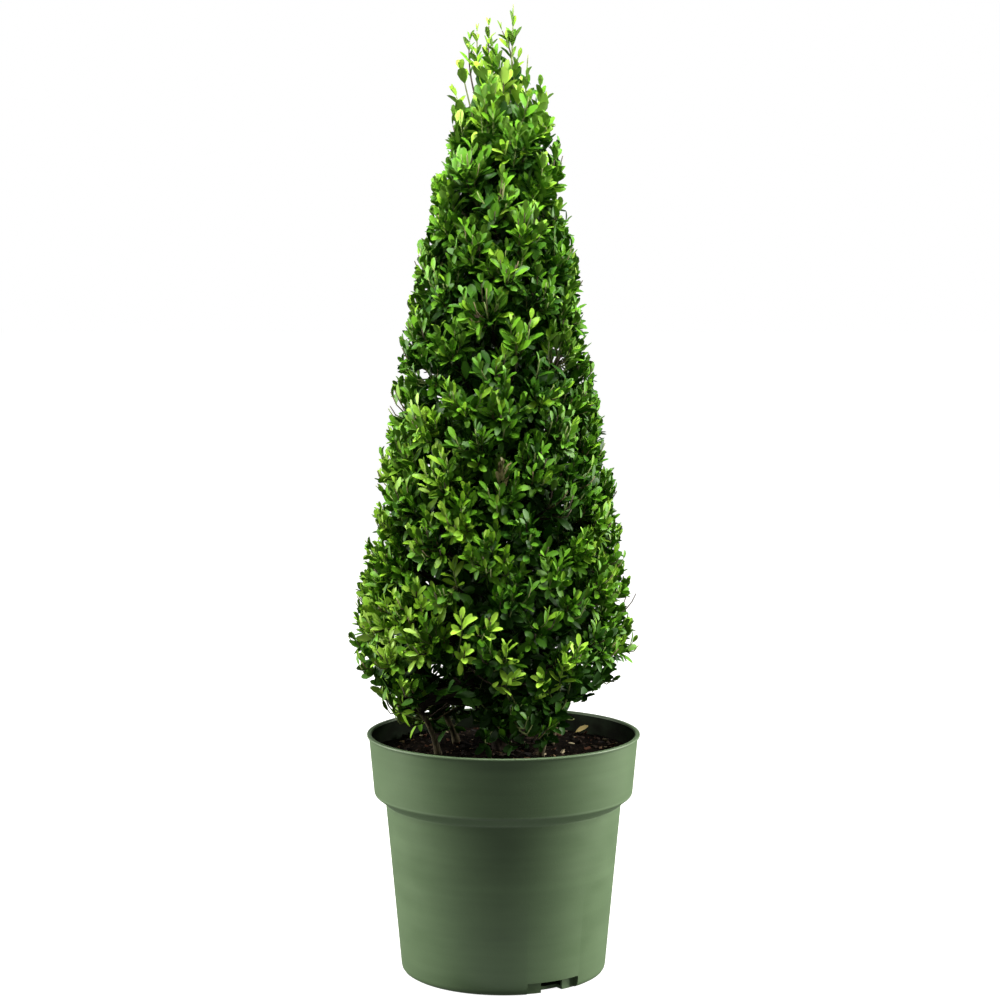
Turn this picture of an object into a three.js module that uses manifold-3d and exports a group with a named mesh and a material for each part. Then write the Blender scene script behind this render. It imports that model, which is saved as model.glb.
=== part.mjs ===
// Potted Japanese holly pyramid: a clipped cone of small evergreen leaves, growing on a leader and
// five side stems in a green nursery pot.
// Millimetres, +Z up. The origin is the centre of the pot's flat underside, and -Y is the front.
import * as THREE from "three";
import { mergeVertices } from "three/addons/utils/BufferGeometryUtils.js";
import Module from "manifold-3d";

const wasm = await Module();
wasm.setup();

const { degToRad, mapLinear, lerp, clamp } = THREE.MathUtils;

// Driving dimensions

const GAP = 0.3; // clearance between pieces that touch on the real plant

const POT_HEIGHT = 167;
const POT_WALL = 1.8;
const POT_FLOOR = 2.4;
const POT_SIDES = 48;
const RIM_RADIUS = 95.2; // outer edge of the rolled lip
const RIM_ROOM = 10; // closer than this to that edge, leaves stay over the rim
const LIP_HEIGHT = 1.5;
const COLLAR_TOP_RADIUS = 93.8;
const COLLAR_FOOT_RADIUS = 90.1;
const COLLAR_FOOT = 125; // height at which the collar starts to slope in
const COLLAR_BEVEL = 6; // height of that slope
const BODY_TOP_RADIUS = 82.3;
const BASE_RADIUS = 71.2;
const BASE_CORNER = 4;

const DRAIN_COUNT = 2;
const DRAIN_TURN = -61; // degrees from +X to the drain at the front right
const DRAIN_ARC = 32; // degrees of wall that each recess takes
const DRAIN_HEIGHT = 8.4;
const DRAIN_DEPTH = 3.6;
const SLOT_ARC = 14;
const SLOT_HEIGHT = 7.4;

const SOIL_DEPTH = 13; // from the rim down to the soil
const SOIL_SIDES = 24;
const SOIL_FOOT_RADIUS = 58;
const SOIL_SHOULDER = 25; // height by which the soil has widened to the wall
const SOIL_DOME = 1.6;
const SOIL_FLAT_RADIUS = 56;

const TRUNK_TIP = 515;
const TRUNK_FOOT_RADIUS = 4.8;
const TRUNK_TIP_RADIUS = 2.2;
const TRUNK_FLARE = 0.6; // extra share of the radius at the ground
const TRUNK_FLARE_HEIGHT = 9;
const TRUNK_LEAN = 8; // furthest that the trunk leans towards -X
const TRUNK_BEND = 3; // and how far it weaves front to back

const SIDE_STEM_FOOT_RADIUS = 2.2;
const SIDE_STEM_TIP_RADIUS = 1.7;
const SIDE_STEM_TIP = 188;
const SIDE_STEM_BOW = 3; // how far a side stem bows in before it turns out

// The side stems, one for each mass of the lowest tier: direction in degrees, distances of the foot
// and of the tip from the axis
const SIDE_STEMS = [
  [-48, 38, 50],
  [20, 35, 52],
  [80, 42, 57],
  [150, 38, 54],
  [206, 50, 65],
];

const CROWN_FOOT = 176;
const CROWN_FOOT_RADIUS = 62;
const CROWN_WIDEST = 232;
const CROWN_RADIUS = 100;
const CROWN_BELLY = 2;
const CROWN_SHOULDER = 600;
const CROWN_SHOULDER_RADIUS = 34;
const CROWN_TOP = 648;
const CROWN_LEAN = 6.5; // how far the crown stands to the left of the pot, less towards its top
const CROWN_LEAN_CURVE = 2.5; // how late it comes back over the pot's axis

const CORE_DEPTH = 28; // from the crown's outline in to the dense core
const CORE_LEAST_RADIUS = 5;
const CORE_RAISE = 8; // and up
const CORE_FOOT = 192;
const CORE_TOP = 622;
const CORE_BORE = 7; // space left round the trunk
const CORE_CRUMPLE = 9;
const CORE_SIDES = 16;
const CORE_RINGS = 11;

// The crown's tiers of foliage are parted by cones that rise outwards, as the sprays do.
const TIER_SLOPE = 1.3;
const TIERS = [
  { name: "lower_foliage", masses: 5, turn: -70, from: -200, to: 197 },
  { name: "middle_foliage", masses: 4, turn: -80, from: 197, to: 343 },
  { name: "upper_foliage", masses: 3, turn: 20, from: 343, to: 472 },
  { name: "top_foliage", masses: 1, turn: 0, from: 472, to: 800 },
];
const CELL_MARGIN = 0.5; // half the space between two masses
const LIMB_ROOM = 1; // space between leaves and stems, soil or pot

const SPRAYS = 180;
const SPRAY_TRIES = 4; // ways of turning a spray, of which the one with the most room is kept
const SPRAY_RISE_FOOT = -30; // degrees above level at the skirt
const SPRAY_RISE_SHOULDER = 64;
const SPRAY_RISE_TOP = 88;
const SPRAY_RISE_CURVE = 0.4; // how soon they turn up
const SPRAY_JITTER = 9; // degrees
const SPRAY_SWING = 24; // degrees that a spray may turn sideways
const SPRAY_FULL_RADIUS = 44; // where the crown is slimmer than this its sprays are smaller
const SPRAY_LEAST_SIZE = 0.7;
const TWIG_LENGTH = 18;
const TWIG_LONGEST = 66;
const TWIG_SUNK = 6; // how deep a twig's foot lies in the core
const TWIG_RADIUS = 2.2;
const TWIG_POINT = 12; // the twig's point runs on into its end leaf
const MASS_STEM_RADIUS = 1.7;
const MASS_STEM_LENGTH = 30;
const MASS_STEM_RISE = 38; // degrees above level where a mass leaves the trunk
const MASS_STEM_HEIGHT = 0.3; // where it leaves, as a share of its tier

const LEAF_LENGTH = 27;
const LEAF_WIDTH = 12.5;
const LEAF_THICKNESS = 1.1;
const LEAF_THICKEST = 0.42; // where along the leaf
const LEAF_BLUNTNESS = 0.72; // below 1, the leaf is widest beyond its middle
const LEAF_CUP = 1.2; // how far its edges stand over its midrib
const LEAF_SPREAD = 52; // degrees between a side leaf and its twig
const LEAF_JITTER = 24;
const LEAF_LIFT = 0.3; // how far a leaf's face looks up, against outwards
const LEAF_STEP = 4.2; // distance from one leaf to the next along the twig
const LEAVES_PER_SPRAY = 3;
const GOLDEN_ANGLE = 137.508; // degrees from one spray to the next

// Long shoots that the shears missed, standing over the top: [x, y, tip height, lean towards +X in degrees]
const LEADERS = [
  [7, -2, 667, 3],
  [-18, 4, 651, -16],
  [18, -5, 634, 14],
];
const LEADER_LENGTH = 62;
const LEADER_LEAVES = 7;
const LEADER_LEAF_SIZE = 0.62;
const LEADER_THICKNESS = 0.85;
const LEADER_LEAFY = 0.75; // share of its length that bears leaves

const COLOURS = { pot: 0x5f7f5a, soil: 0x2a2018, bark: 0x5b4a38, leaf: 0x3f7a1e };

// Solids

/** A closed three.js geometry as a solid that can be joined and cut. */
function solid(geometry) {
  const bare = new THREE.BufferGeometry().setAttribute("position", geometry.getAttribute("position"));
  const merged = mergeVertices(bare.setIndex(geometry.index), 1e-4);
  const index = merged.index.array;
  const triangles = [];
  for (let i = 0; i < index.length; i += 3) {
    const [a, b, c] = index.slice(i, i + 3);
    if (a !== b && b !== c && c !== a) triangles.push(a, b, c);
  }
  const vertProperties = merged.attributes.position.array;
  const triVerts = Uint32Array.from(triangles);
  return new wasm.Manifold(new wasm.Mesh({ numProp: 3, vertProperties, triVerts }));
}

/** The largest body of a solid, without the walls of sealed hollows or loose scraps. */
function wholeBody(joined) {
  return joined.decompose().reduce((best, next) => (next.volume() > best.volume() ? next : best));
}

function geometryOf(body) {
  const { vertProperties, triVerts } = body.getMesh();
  const geometry = new THREE.BufferGeometry();
  geometry.setAttribute("position", new THREE.BufferAttribute(vertProperties, 3));
  geometry.setIndex(new THREE.BufferAttribute(triVerts, 1));
  geometry.computeVertexNormals();
  return geometry;
}

/** A profile of [radius, height] pairs turned about +Z. */
function turned(profile, sides) {
  const points = profile.map(([radius, height]) => new THREE.Vector2(radius, height));
  return new THREE.LatheGeometry(points, sides).rotateX(Math.PI / 2);
}

/** A block between two radii and two heights, over an arc about a direction, both in degrees. */
function arcBlock(inner, outer, low, high, direction, arc) {
  const from = degToRad(direction - arc / 2);
  const to = degToRad(direction + arc / 2);
  const outline = new THREE.Shape();
  outline.absarc(0, 0, outer, from, to, false);
  outline.absarc(0, 0, inner, to, from, true);
  const options = { depth: high - low, bevelEnabled: false, curveSegments: 3 };
  return solid(new THREE.ExtrudeGeometry(outline, options).translate(0, 0, low));
}

/** A limb: a cylinder bent along a curve, its radius given along the way and its foot cut level or not. */
function limb(curve, radiusAt, sides, steps, levelFoot) {
  const geometry = new THREE.CylinderGeometry(1, 1, 1, sides, steps);
  const frames = curve.computeFrenetFrames(steps, false);
  const position = geometry.getAttribute("position");
  const at = new THREE.Vector3();
  for (let i = 0; i < position.count; i++) {
    const step = Math.round((position.getY(i) + 0.5) * steps);
    const radius = radiusAt(step / steps);
    at.copy(curve.getPointAt(step / steps));
    at.addScaledVector(frames.normals[step], position.getX(i) * radius);
    at.addScaledVector(frames.binormals[step], -position.getZ(i) * radius);
    if (step === 0 && levelFoot) at.z = curve.getPointAt(0).z;
    position.setXYZ(i, at.x, at.y, at.z);
  }
  return geometry;
}

/** Seeded random numbers from 0 to 1. */
function randomFrom(seed) {
  let state = seed >>> 0;
  return () => {
    state = (state + 0x6d2b79f5) >>> 0;
    let t = Math.imul(state ^ (state >>> 15), 1 | state);
    t = (t + Math.imul(t ^ (t >>> 7), 61 | t)) ^ t;
    return ((t ^ (t >>> 14)) >>> 0) / 4294967296;
  };
}

/** A direction that points outwards at an angle round the axis, and rises above level, both in degrees. */
function outward(angle, rise) {
  const level = Math.cos(degToRad(rise));
  return new THREE.Vector3(
    level * Math.cos(degToRad(angle)),
    level * Math.sin(degToRad(angle)),
    Math.sin(degToRad(rise)),
  );
}

function aroundAxis(radius, angle, height) {
  return outward(angle, 0).multiplyScalar(radius).setZ(height);
}

// Pot and soil

/** The outer radius of the pot's body at a height. */
function bodyRadius(height) {
  return mapLinear(height, 0, COLLAR_FOOT - COLLAR_BEVEL, BASE_RADIUS, BODY_TOP_RADIUS);
}

/** The outer radius of the pot's collar at a height. */
function collarRadius(height) {
  return mapLinear(height, COLLAR_FOOT, POT_HEIGHT - LIP_HEIGHT, COLLAR_FOOT_RADIUS, COLLAR_TOP_RADIUS);
}

/** The pot: a thin wall with a lip, a stepped collar, a tapered body and recessed drain slots at its foot. */
function makePot() {
  const collarTop = POT_HEIGHT - LIP_HEIGHT;
  const bevelFoot = COLLAR_FOOT - COLLAR_BEVEL;
  const profile = [
    [0, 0],
    [BASE_RADIUS - BASE_CORNER, 0],
    [BASE_RADIUS - BASE_CORNER * 0.3, BASE_CORNER * 0.3],
    [bodyRadius(BASE_CORNER), BASE_CORNER],
    [BODY_TOP_RADIUS, bevelFoot],
    [COLLAR_FOOT_RADIUS, COLLAR_FOOT],
    [COLLAR_TOP_RADIUS, collarTop],
    [RIM_RADIUS, collarTop + 0.5],
    [RIM_RADIUS, POT_HEIGHT - 0.5],
    [RIM_RADIUS - 0.6, POT_HEIGHT],
    [COLLAR_TOP_RADIUS - POT_WALL + 0.3, POT_HEIGHT],
    [COLLAR_TOP_RADIUS - POT_WALL, collarTop],
    [COLLAR_FOOT_RADIUS - POT_WALL, COLLAR_FOOT + POT_WALL / 2],
    [BODY_TOP_RADIUS - POT_WALL, bevelFoot + POT_WALL / 2],
    [BASE_RADIUS - POT_WALL, POT_FLOOR],
    [0, POT_FLOOR],
  ];
  let pot = solid(turned(profile, POT_SIDES));
  const recessWall = BASE_RADIUS - DRAIN_DEPTH;
  for (let i = 0; i < DRAIN_COUNT; i++) {
    const facing = DRAIN_TURN + (i * 360) / DRAIN_COUNT;
    const pad = arcBlock(
      recessWall - POT_WALL,
      BASE_RADIUS - POT_WALL + 0.6,
      POT_FLOOR - 0.4,
      DRAIN_HEIGHT + POT_WALL,
      facing,
      DRAIN_ARC + 3,
    );
    const recess = arcBlock(recessWall, RIM_RADIUS, -1, DRAIN_HEIGHT, facing, DRAIN_ARC);
    const slot = arcBlock(recessWall - 6, BASE_RADIUS, -1, SLOT_HEIGHT, facing, SLOT_ARC);
    pot = pot.add(pad).subtract(recess).subtract(slot);
  }
  return geometryOf(wholeBody(pot));
}

const GROUND = POT_HEIGHT - SOIL_DEPTH + SOIL_DOME; // top of the soil round the stems
const STEM_FOOT = GROUND + GAP;

/** The soil, filling the pot from its floor to just under the rim. */
function makeSoil() {
  const edge = POT_HEIGHT - SOIL_DEPTH;
  const inside = POT_WALL + GAP + 0.2;
  const bevelFoot = COLLAR_FOOT - COLLAR_BEVEL + POT_WALL;
  return turned(
    [
      [0, POT_FLOOR + GAP],
      [SOIL_FOOT_RADIUS, POT_FLOOR + GAP],
      [bodyRadius(SOIL_SHOULDER) - inside, SOIL_SHOULDER],
      [BODY_TOP_RADIUS - inside, bevelFoot],
      [COLLAR_FOOT_RADIUS - inside, COLLAR_FOOT + POT_WALL],
      [collarRadius(edge) - inside, edge],
      [SOIL_FLAT_RADIUS, GROUND],
      [0, GROUND],
    ],
    SOIL_SIDES,
  );
}

// Stems

/** The trunk's centre line at a share of its height: it leans to the left and comes back under the tip. */
function trunkPoint(share) {
  const lean = -TRUNK_LEAN * Math.sin(Math.PI * Math.sqrt(share));
  const weave = TRUNK_BEND * Math.sin(2 * Math.PI * share);
  return new THREE.Vector3(lean, weave, lerp(STEM_FOOT, TRUNK_TIP, share));
}

function trunkRadius(share) {
  const above = share * (TRUNK_TIP - STEM_FOOT);
  const flare = 1 + TRUNK_FLARE * Math.exp(-above / TRUNK_FLARE_HEIGHT);
  return lerp(TRUNK_FOOT_RADIUS, TRUNK_TIP_RADIUS, Math.pow(share, 0.8)) * flare;
}

/** The trunk, or with extra radius the space that the foliage leaves round it. */
function trunkGeometry(extra) {
  const shares = Array.from({ length: 15 }, (_, i) => i / 14);
  const curve = new THREE.CatmullRomCurve3(shares.map(trunkPoint));
  return limb(curve, (along) => trunkRadius(along) + extra, 8, 16, true);
}

/** A side stem from the soil up and outwards to where it enters its mass. */
function sideStemCurve([angle, stance, reach]) {
  const foot = aroundAxis(stance, angle, STEM_FOOT);
  const tip = aroundAxis(reach, angle + 4, SIDE_STEM_TIP);
  const knee = foot.clone().lerp(tip, 0.45).addScaledVector(outward(angle, 0), -SIDE_STEM_BOW);
  return new THREE.CatmullRomCurve3([foot, knee, tip]);
}

function makeSideStem(curve) {
  const radiusAt = (along) =>
    lerp(SIDE_STEM_FOOT_RADIUS, SIDE_STEM_TIP_RADIUS, along) * (1 + 0.35 * Math.exp(-along * 9));
  return limb(curve, radiusAt, 6, 5, true);
}

// Crown

/** The radius of the crown's outline at a height. */
function crownRadius(height) {
  if (height < CROWN_WIDEST) {
    const drop = clamp((CROWN_WIDEST - height) / (CROWN_WIDEST - CROWN_FOOT), 0, 1);
    return lerp(CROWN_FOOT_RADIUS, CROWN_RADIUS, 1 - drop * drop);
  }
  if (height > CROWN_SHOULDER) {
    const rise = clamp((height - CROWN_SHOULDER) / (CROWN_TOP - CROWN_SHOULDER), 0, 1);
    return CROWN_SHOULDER_RADIUS * Math.sqrt(1 - rise * rise);
  }
  const up = (height - CROWN_WIDEST) / (CROWN_SHOULDER - CROWN_WIDEST);
  return lerp(CROWN_RADIUS, CROWN_SHOULDER_RADIUS, up) + CROWN_BELLY * Math.sin(Math.PI * up);
}

/** How far the crown's middle is from the pot's axis at a height, towards +X. */
function crownMiddle(height) {
  const up = clamp((height - CROWN_FOOT) / (CROWN_TOP - CROWN_FOOT), 0, 1);
  return CROWN_LEAN * (Math.pow(up, CROWN_LEAN_CURVE) - 1);
}

/** Heights that share the crown's outer surface evenly, from the skirt to the top. */
function evenHeights(count) {
  const slices = 400;
  const slice = (CROWN_TOP - CROWN_FOOT) / slices;
  const areas = [0];
  for (let i = 0; i < slices; i++) {
    const low = CROWN_FOOT + i * slice;
    const run = crownRadius(low + slice) - crownRadius(low);
    areas.push(areas[i] + crownRadius(low + slice / 2) * Math.hypot(slice, run));
  }
  return Array.from({ length: count }, (_, i) => {
    const wanted = ((i + 0.5) / count) * areas[slices];
    const past = areas.findIndex((area) => area >= wanted);
    const part = (wanted - areas[past - 1]) / (areas[past] - areas[past - 1]);
    return CROWN_FOOT + (past - 1 + part) * slice;
  });
}

/** How steeply a spray rises at a height, in degrees. */
function sprayRise(height) {
  if (height > CROWN_SHOULDER) {
    return mapLinear(height, CROWN_SHOULDER, CROWN_TOP, SPRAY_RISE_SHOULDER, SPRAY_RISE_TOP);
  }
  const up = (height - CROWN_FOOT) / (CROWN_SHOULDER - CROWN_FOOT);
  return lerp(SPRAY_RISE_FOOT, SPRAY_RISE_SHOULDER, Math.pow(up, SPRAY_RISE_CURVE));
}

/** The space of one mass: a sector of a tier, about the trunk. Angles are in degrees. */
function makeCell(tier, i) {
  const arc = 360 / tier.masses;
  const halfway = ((tier.from + tier.to) / 2 - STEM_FOOT) / (TRUNK_TIP - STEM_FOOT);
  return { ...tier, arc, middle: tier.turn + i * arc, hub: trunkPoint(clamp(halfway, 0, 1)).setZ(0) };
}

/** Whether a point lies in a cell, by a margin. */
function inCell(point, cell, margin) {
  const radius = Math.hypot(point.x, point.y);
  const level = point.z - TIER_SLOPE * radius;
  if (level < cell.from + margin * 1.2 || level > cell.to - margin * 1.2) return false;
  if (cell.masses === 1) return true;
  const fromHub = point.clone().sub(cell.hub);
  const turn = degToRad(cell.arc / 2) - Math.abs(angleBetween(fromHub, cell.middle));
  return Math.hypot(fromHub.x, fromHub.y) * Math.sin(clamp(turn, -Math.PI / 2, Math.PI / 2)) > margin;
}

/** The angle from a direction to a point, seen from above, in radians from -PI to PI. */
function angleBetween(point, direction) {
  const turn = Math.atan2(point.y, point.x) - degToRad(direction);
  return Math.atan2(Math.sin(turn), Math.cos(turn));
}

/** The radius of the dense core inside the crown at a height. */
function coreRadius(height) {
  return Math.max(crownRadius(height - CORE_RAISE) - CORE_DEPTH, CORE_LEAST_RADIUS);
}

/** The whole crown's dense core, a smaller crown with a crumpled side. */
function makeCrownCore() {
  const profile = [[0, CORE_FOOT]];
  for (let i = 0; i <= CORE_RINGS; i++) {
    const height = lerp(CORE_FOOT, CORE_TOP, i / CORE_RINGS);
    profile.push([coreRadius(height), height]);
  }
  profile.push([0, CORE_TOP]);
  const geometry = turned(profile, CORE_SIDES);
  const position = geometry.getAttribute("position");
  for (let i = 0; i < position.count; i++) {
    const [x, y, height] = [position.getX(i), position.getY(i), position.getZ(i)];
    const column = Math.floor(i / profile.length) % CORE_SIDES;
    const random = randomFrom(500 + column * profile.length + (i % profile.length));
    const crumple = 1 + (CORE_CRUMPLE * (random() - 0.5)) / CORE_DEPTH;
    position.setXY(i, x * crumple + crownMiddle(height), y * crumple);
  }
  return solid(geometry);
}

/** A cell as a solid, to cut the crown's core with. */
function cellBlock(cell) {
  const reach = CROWN_RADIUS * 1.5;
  const lift = TIER_SLOPE * reach;
  const [low, high] = [cell.from + CELL_MARGIN * 2, cell.to - CELL_MARGIN * 2];
  const tier = solid(turned([[0, low], [reach, low + lift], [reach, high + lift], [0, high]], 20));
  if (cell.masses === 1) return tier;
  const half = cell.arc / 2;
  const inset = CELL_MARGIN / Math.sin(degToRad(half));
  const corner = aroundAxis(inset, cell.middle, 0).add(cell.hub);
  const wedge = new THREE.Shape();
  wedge.moveTo(corner.x, corner.y);
  for (const turn of [-half, 0, half]) {
    const edge = aroundAxis(reach * 1.5, cell.middle + turn, 0).add(corner);
    wedge.lineTo(edge.x, edge.y);
  }
  const options = { depth: CROWN_TOP * 2, bevelEnabled: false };
  return tier.intersect(solid(new THREE.ExtrudeGeometry(wedge, options)));
}

// Twigs and leaves

/** A leaf: a thin cupped lens with its root at the origin, along +X, with its upper face to +Z. */
function leafGeometry(size) {
  const geometry = new THREE.SphereGeometry(1, 4, 2);
  const position = geometry.getAttribute("position");
  for (let i = 0; i < position.count; i++) {
    const pole = position.getY(i);
    if (Math.abs(pole) > 0.5) {
      position.setXYZ(i, LEAF_THICKEST * LEAF_LENGTH, 0, (pole * LEAF_THICKNESS) / 2);
      continue;
    }
    const along = Math.pow((position.getX(i) + 1) / 2, LEAF_BLUNTNESS);
    const side = -position.getZ(i);
    position.setXYZ(i, along * LEAF_LENGTH, (side * LEAF_WIDTH) / 2, Math.abs(side) * LEAF_CUP);
  }
  return geometry.scale(size, size, size);
}

/** A matrix that puts a piece made along +X at a point, along a direction, its +Z turned towards a side. */
function pose(root, along, facing) {
  const x = along.clone().normalize();
  const y = facing.clone().cross(x).normalize();
  const z = x.clone().cross(y);
  return new THREE.Matrix4().makeBasis(x, y, z).setPosition(root);
}

/** The leaves of a twig that ends at a point: one at its tip, the rest at its sides, turned to the light. */
function leavesOn(end, direction, count, size, step, random) {
  const side = new THREE.Vector3(0, 0, 1).cross(direction);
  if (side.length() < 0.2) side.set(1, 0, 0);
  side.normalize();
  const above = direction.clone().cross(side);
  const light = new THREE.Vector3(end.x, end.y, 0).normalize().setZ(LEAF_LIFT);
  const first = random() < 0.5 ? 0 : 180;
  const leaves = [];
  for (let i = 0; i < count; i++) {
    const spread = i === 0 ? 6 : LEAF_SPREAD + (random() - 0.5) * LEAF_JITTER;
    const turn = degToRad(first + i * 180 + (random() - 0.5) * 2 * LEAF_JITTER);
    const along = direction.clone().multiplyScalar(Math.cos(degToRad(spread)));
    along.addScaledVector(side, Math.sin(degToRad(spread)) * Math.cos(turn));
    along.addScaledVector(above, Math.sin(degToRad(spread)) * Math.sin(turn));
    const back = i === 0 ? 1.5 : i * step;
    const root = end.clone().addScaledVector(direction, -back);
    const facing = light.clone().addScaledVector(side, random() - 0.5);
    const grown = size * (0.92 + 0.16 * random());
    leaves.push(leafGeometry(grown).applyMatrix4(pose(root, along, facing)));
  }
  return leaves;
}

/** A three-sided twig from a point, along a direction. */
function twigGeometry(root, direction, length, size) {
  const twig = new THREE.ConeGeometry(TWIG_RADIUS * size, length + TWIG_POINT, 3, 1);
  twig.rotateZ(-Math.PI / 2).translate((length + TWIG_POINT) / 2, 0, 0);
  const facing = Math.abs(direction.z) > 0.9 ? new THREE.Vector3(0, 1, 0) : new THREE.Vector3(0, 0, 1);
  return twig.applyMatrix4(pose(root, direction, facing));
}

/** How long a twig is that ends at a point and has its foot well inside the core. */
function twigLength(end, direction) {
  let length = TWIG_LENGTH;
  let depth = 0;
  while (depth < TWIG_SUNK && length < TWIG_LONGEST) {
    length += 2;
    const root = end.clone().addScaledVector(direction, -length);
    const away = Math.hypot(root.x - crownMiddle(root.z), root.y);
    const inside = Math.min(root.z - CORE_FOOT, coreRadius(root.z) + 2 - away);
    depth = root.z < CORE_TOP ? inside : 0;
  }
  return length;
}

/** One spray whose outermost leaf tip lies on the crown's outline. */
function makeSpray(i, height, attempt) {
  const random = randomFrom(1000 + i + attempt * SPRAYS);
  const angle = i * GOLDEN_ANGLE + (random() - 0.5) * SPRAY_JITTER;
  const swing = (random() - 0.5) * SPRAY_SWING;
  const rise = sprayRise(height) + (random() - 0.5) * 2 * SPRAY_JITTER;
  const direction = outward(angle + swing, rise);
  const tip = aroundAxis(crownRadius(height), angle, height);
  tip.x += crownMiddle(height);
  const size = clamp(crownRadius(height) / SPRAY_FULL_RADIUS, SPRAY_LEAST_SIZE, 1);
  const end = tip.clone().addScaledVector(direction, -size * LEAF_LENGTH + 1.5);
  const length = twigLength(end, direction);
  const root = end.clone().addScaledVector(direction, -length);
  return {
    at: end,
    twig: twigGeometry(root, direction, length, size),
    leaves: leavesOn(end, direction, LEAVES_PER_SPRAY, size, size * LEAF_STEP, random),
  };
}

/** A long unclipped shoot with small leaves all the way up. */
function makeLeader([x, y, height, lean], i) {
  const direction = new THREE.Vector3(Math.sin(degToRad(lean)), 0, Math.cos(degToRad(lean)));
  const tip = new THREE.Vector3(x, y, height);
  const end = tip.clone().addScaledVector(direction, -LEADER_LEAF_SIZE * LEAF_LENGTH + 1.5);
  const root = end.clone().addScaledVector(direction, -LEADER_LENGTH);
  const step = (LEADER_LEAFY * LEADER_LENGTH) / LEADER_LEAVES;
  return {
    at: end,
    twig: twigGeometry(root, direction, LEADER_LENGTH, LEADER_THICKNESS),
    leaves: leavesOn(end, direction, LEADER_LEAVES, LEADER_LEAF_SIZE, step, randomFrom(77 + i)),
  };
}

// Masses of foliage

/** Whether a piece keeps to its cell and clear of the pot, the soil and the side stems. */
function keepsToSpace(geometry, cell, stems) {
  const position = geometry.getAttribute("position");
  const corners = [];
  for (let i = 0; i < position.count; i++) {
    corners.push(new THREE.Vector3().fromBufferAttribute(position, i));
  }
  const samples = corners.flatMap((corner) => corners.map((other) => corner.clone().lerp(other, 0.5)));
  return samples.every((point) => {
    const overRim = Math.hypot(point.x, point.y) > RIM_RADIUS - RIM_ROOM;
    const lowest = (overRim ? POT_HEIGHT : GROUND) + LIMB_ROOM;
    const clear = stems.every((stem) => stem.distance(point) > LIMB_ROOM);
    return clear && point.z > lowest && inCell(point, cell, CELL_MARGIN);
  });
}

/** A side stem's surface, as a measure of how far a point is from it. */
function stemSpace(curve) {
  const points = curve.getSpacedPoints(12);
  const distance = (point) => Math.min(...points.map((at) => at.distanceTo(point))) - SIDE_STEM_FOOT_RADIUS;
  return { distance };
}

/** The stem of a mass: up from its side stem's tip, out from the trunk, or on from the trunk's tip. */
function massStem(cell, sideCurve) {
  let root = null;
  let inside = null;
  if (sideCurve) {
    const onward = sideCurve.getTangentAt(1);
    root = sideCurve.getPointAt(1).addScaledVector(onward, GAP);
    inside = root.clone().addScaledVector(onward, MASS_STEM_LENGTH);
  } else if (cell.masses === 1) {
    const onward = trunkPoint(1).sub(trunkPoint(0.98)).normalize();
    root = trunkPoint(1).addScaledVector(onward, GAP);
    inside = root.clone().addScaledVector(onward, MASS_STEM_LENGTH);
  } else {
    const height = lerp(cell.from, cell.to, MASS_STEM_HEIGHT);
    root = trunkPoint((height - STEM_FOOT) / (TRUNK_TIP - STEM_FOOT));
    inside = root.clone().addScaledVector(outward(cell.middle, MASS_STEM_RISE), MASS_STEM_LENGTH);
  }
  return solid(limb(new THREE.LineCurve3(root, inside), () => MASS_STEM_RADIUS, 6, 1, false));
}

/** What fits of a spray: its twig and leaves, or nothing if its twig has no room. */
function fitting(spray, cell, stems) {
  if (!inCell(spray.at, cell, CELL_MARGIN) || !keepsToSpace(spray.twig, cell, stems)) return [];
  return [spray.twig, ...spray.leaves.filter((leaf) => keepsToSpace(leaf, cell, stems))];
}

/** One mass: its stem and core with every spray that keeps to its cell, fused. */
function makeMass(cell, shoots, sideCurve, parts) {
  let body = parts.core.intersect(cellBlock(cell)).add(massStem(cell, sideCurve));
  for (const tries of shoots) {
    const fits = tries.map((spray) => fitting(spray, cell, parts.stems));
    const fullest = fits.reduce((best, next) => (next.length > best.length ? next : best));
    for (const piece of fullest) body = body.add(solid(piece));
  }
  return geometryOf(wholeBody(body.subtract(parts.trunkSpace)));
}

// Assembly

const finish = {
  pot: new THREE.MeshStandardMaterial({ color: COLOURS.pot, roughness: 0.6, metalness: 0 }),
  soil: new THREE.MeshStandardMaterial({ color: COLOURS.soil, roughness: 1, metalness: 0 }),
  bark: new THREE.MeshStandardMaterial({ color: COLOURS.bark, roughness: 0.9, metalness: 0 }),
  leaf: new THREE.MeshStandardMaterial({ color: COLOURS.leaf, roughness: 0.45, metalness: 0 }),
};

const plant = new THREE.Group();

function place(name, geometry, material) {
  const mesh = new THREE.Mesh(geometry, material.clone());
  mesh.name = name;
  plant.add(mesh);
}

place("pot", makePot(), finish.pot);
place("soil", makeSoil(), finish.soil);
place("trunk", trunkGeometry(0), finish.bark);

const sideCurves = SIDE_STEMS.map(sideStemCurve);
sideCurves.forEach((curve, i) => place(`side_stem_${i + 1}`, makeSideStem(curve), finish.bark));

const parts = {
  core: makeCrownCore().subtract(solid(trunkGeometry(CORE_BORE))),
  trunkSpace: solid(trunkGeometry(GAP)),
  stems: sideCurves.map(stemSpace),
};
const tries = Array.from({ length: SPRAY_TRIES }, (_, attempt) => attempt);
const sprays = evenHeights(SPRAYS).map((height, i) => tries.map((attempt) => makeSpray(i, height, attempt)));
const shoots = [...sprays, ...LEADERS.map((leader, i) => [makeLeader(leader, i)])];
for (const tier of TIERS) {
  for (let i = 0; i < tier.masses; i++) {
    const name = tier.masses === 1 ? tier.name : `${tier.name}_${i + 1}`;
    const sideCurve = tier === TIERS[0] ? sideCurves[i] : null;
    place(name, makeMass(makeCell(tier, i), shoots, sideCurve, parts), finish.leaf);
  }
}

export default plant;
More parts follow.
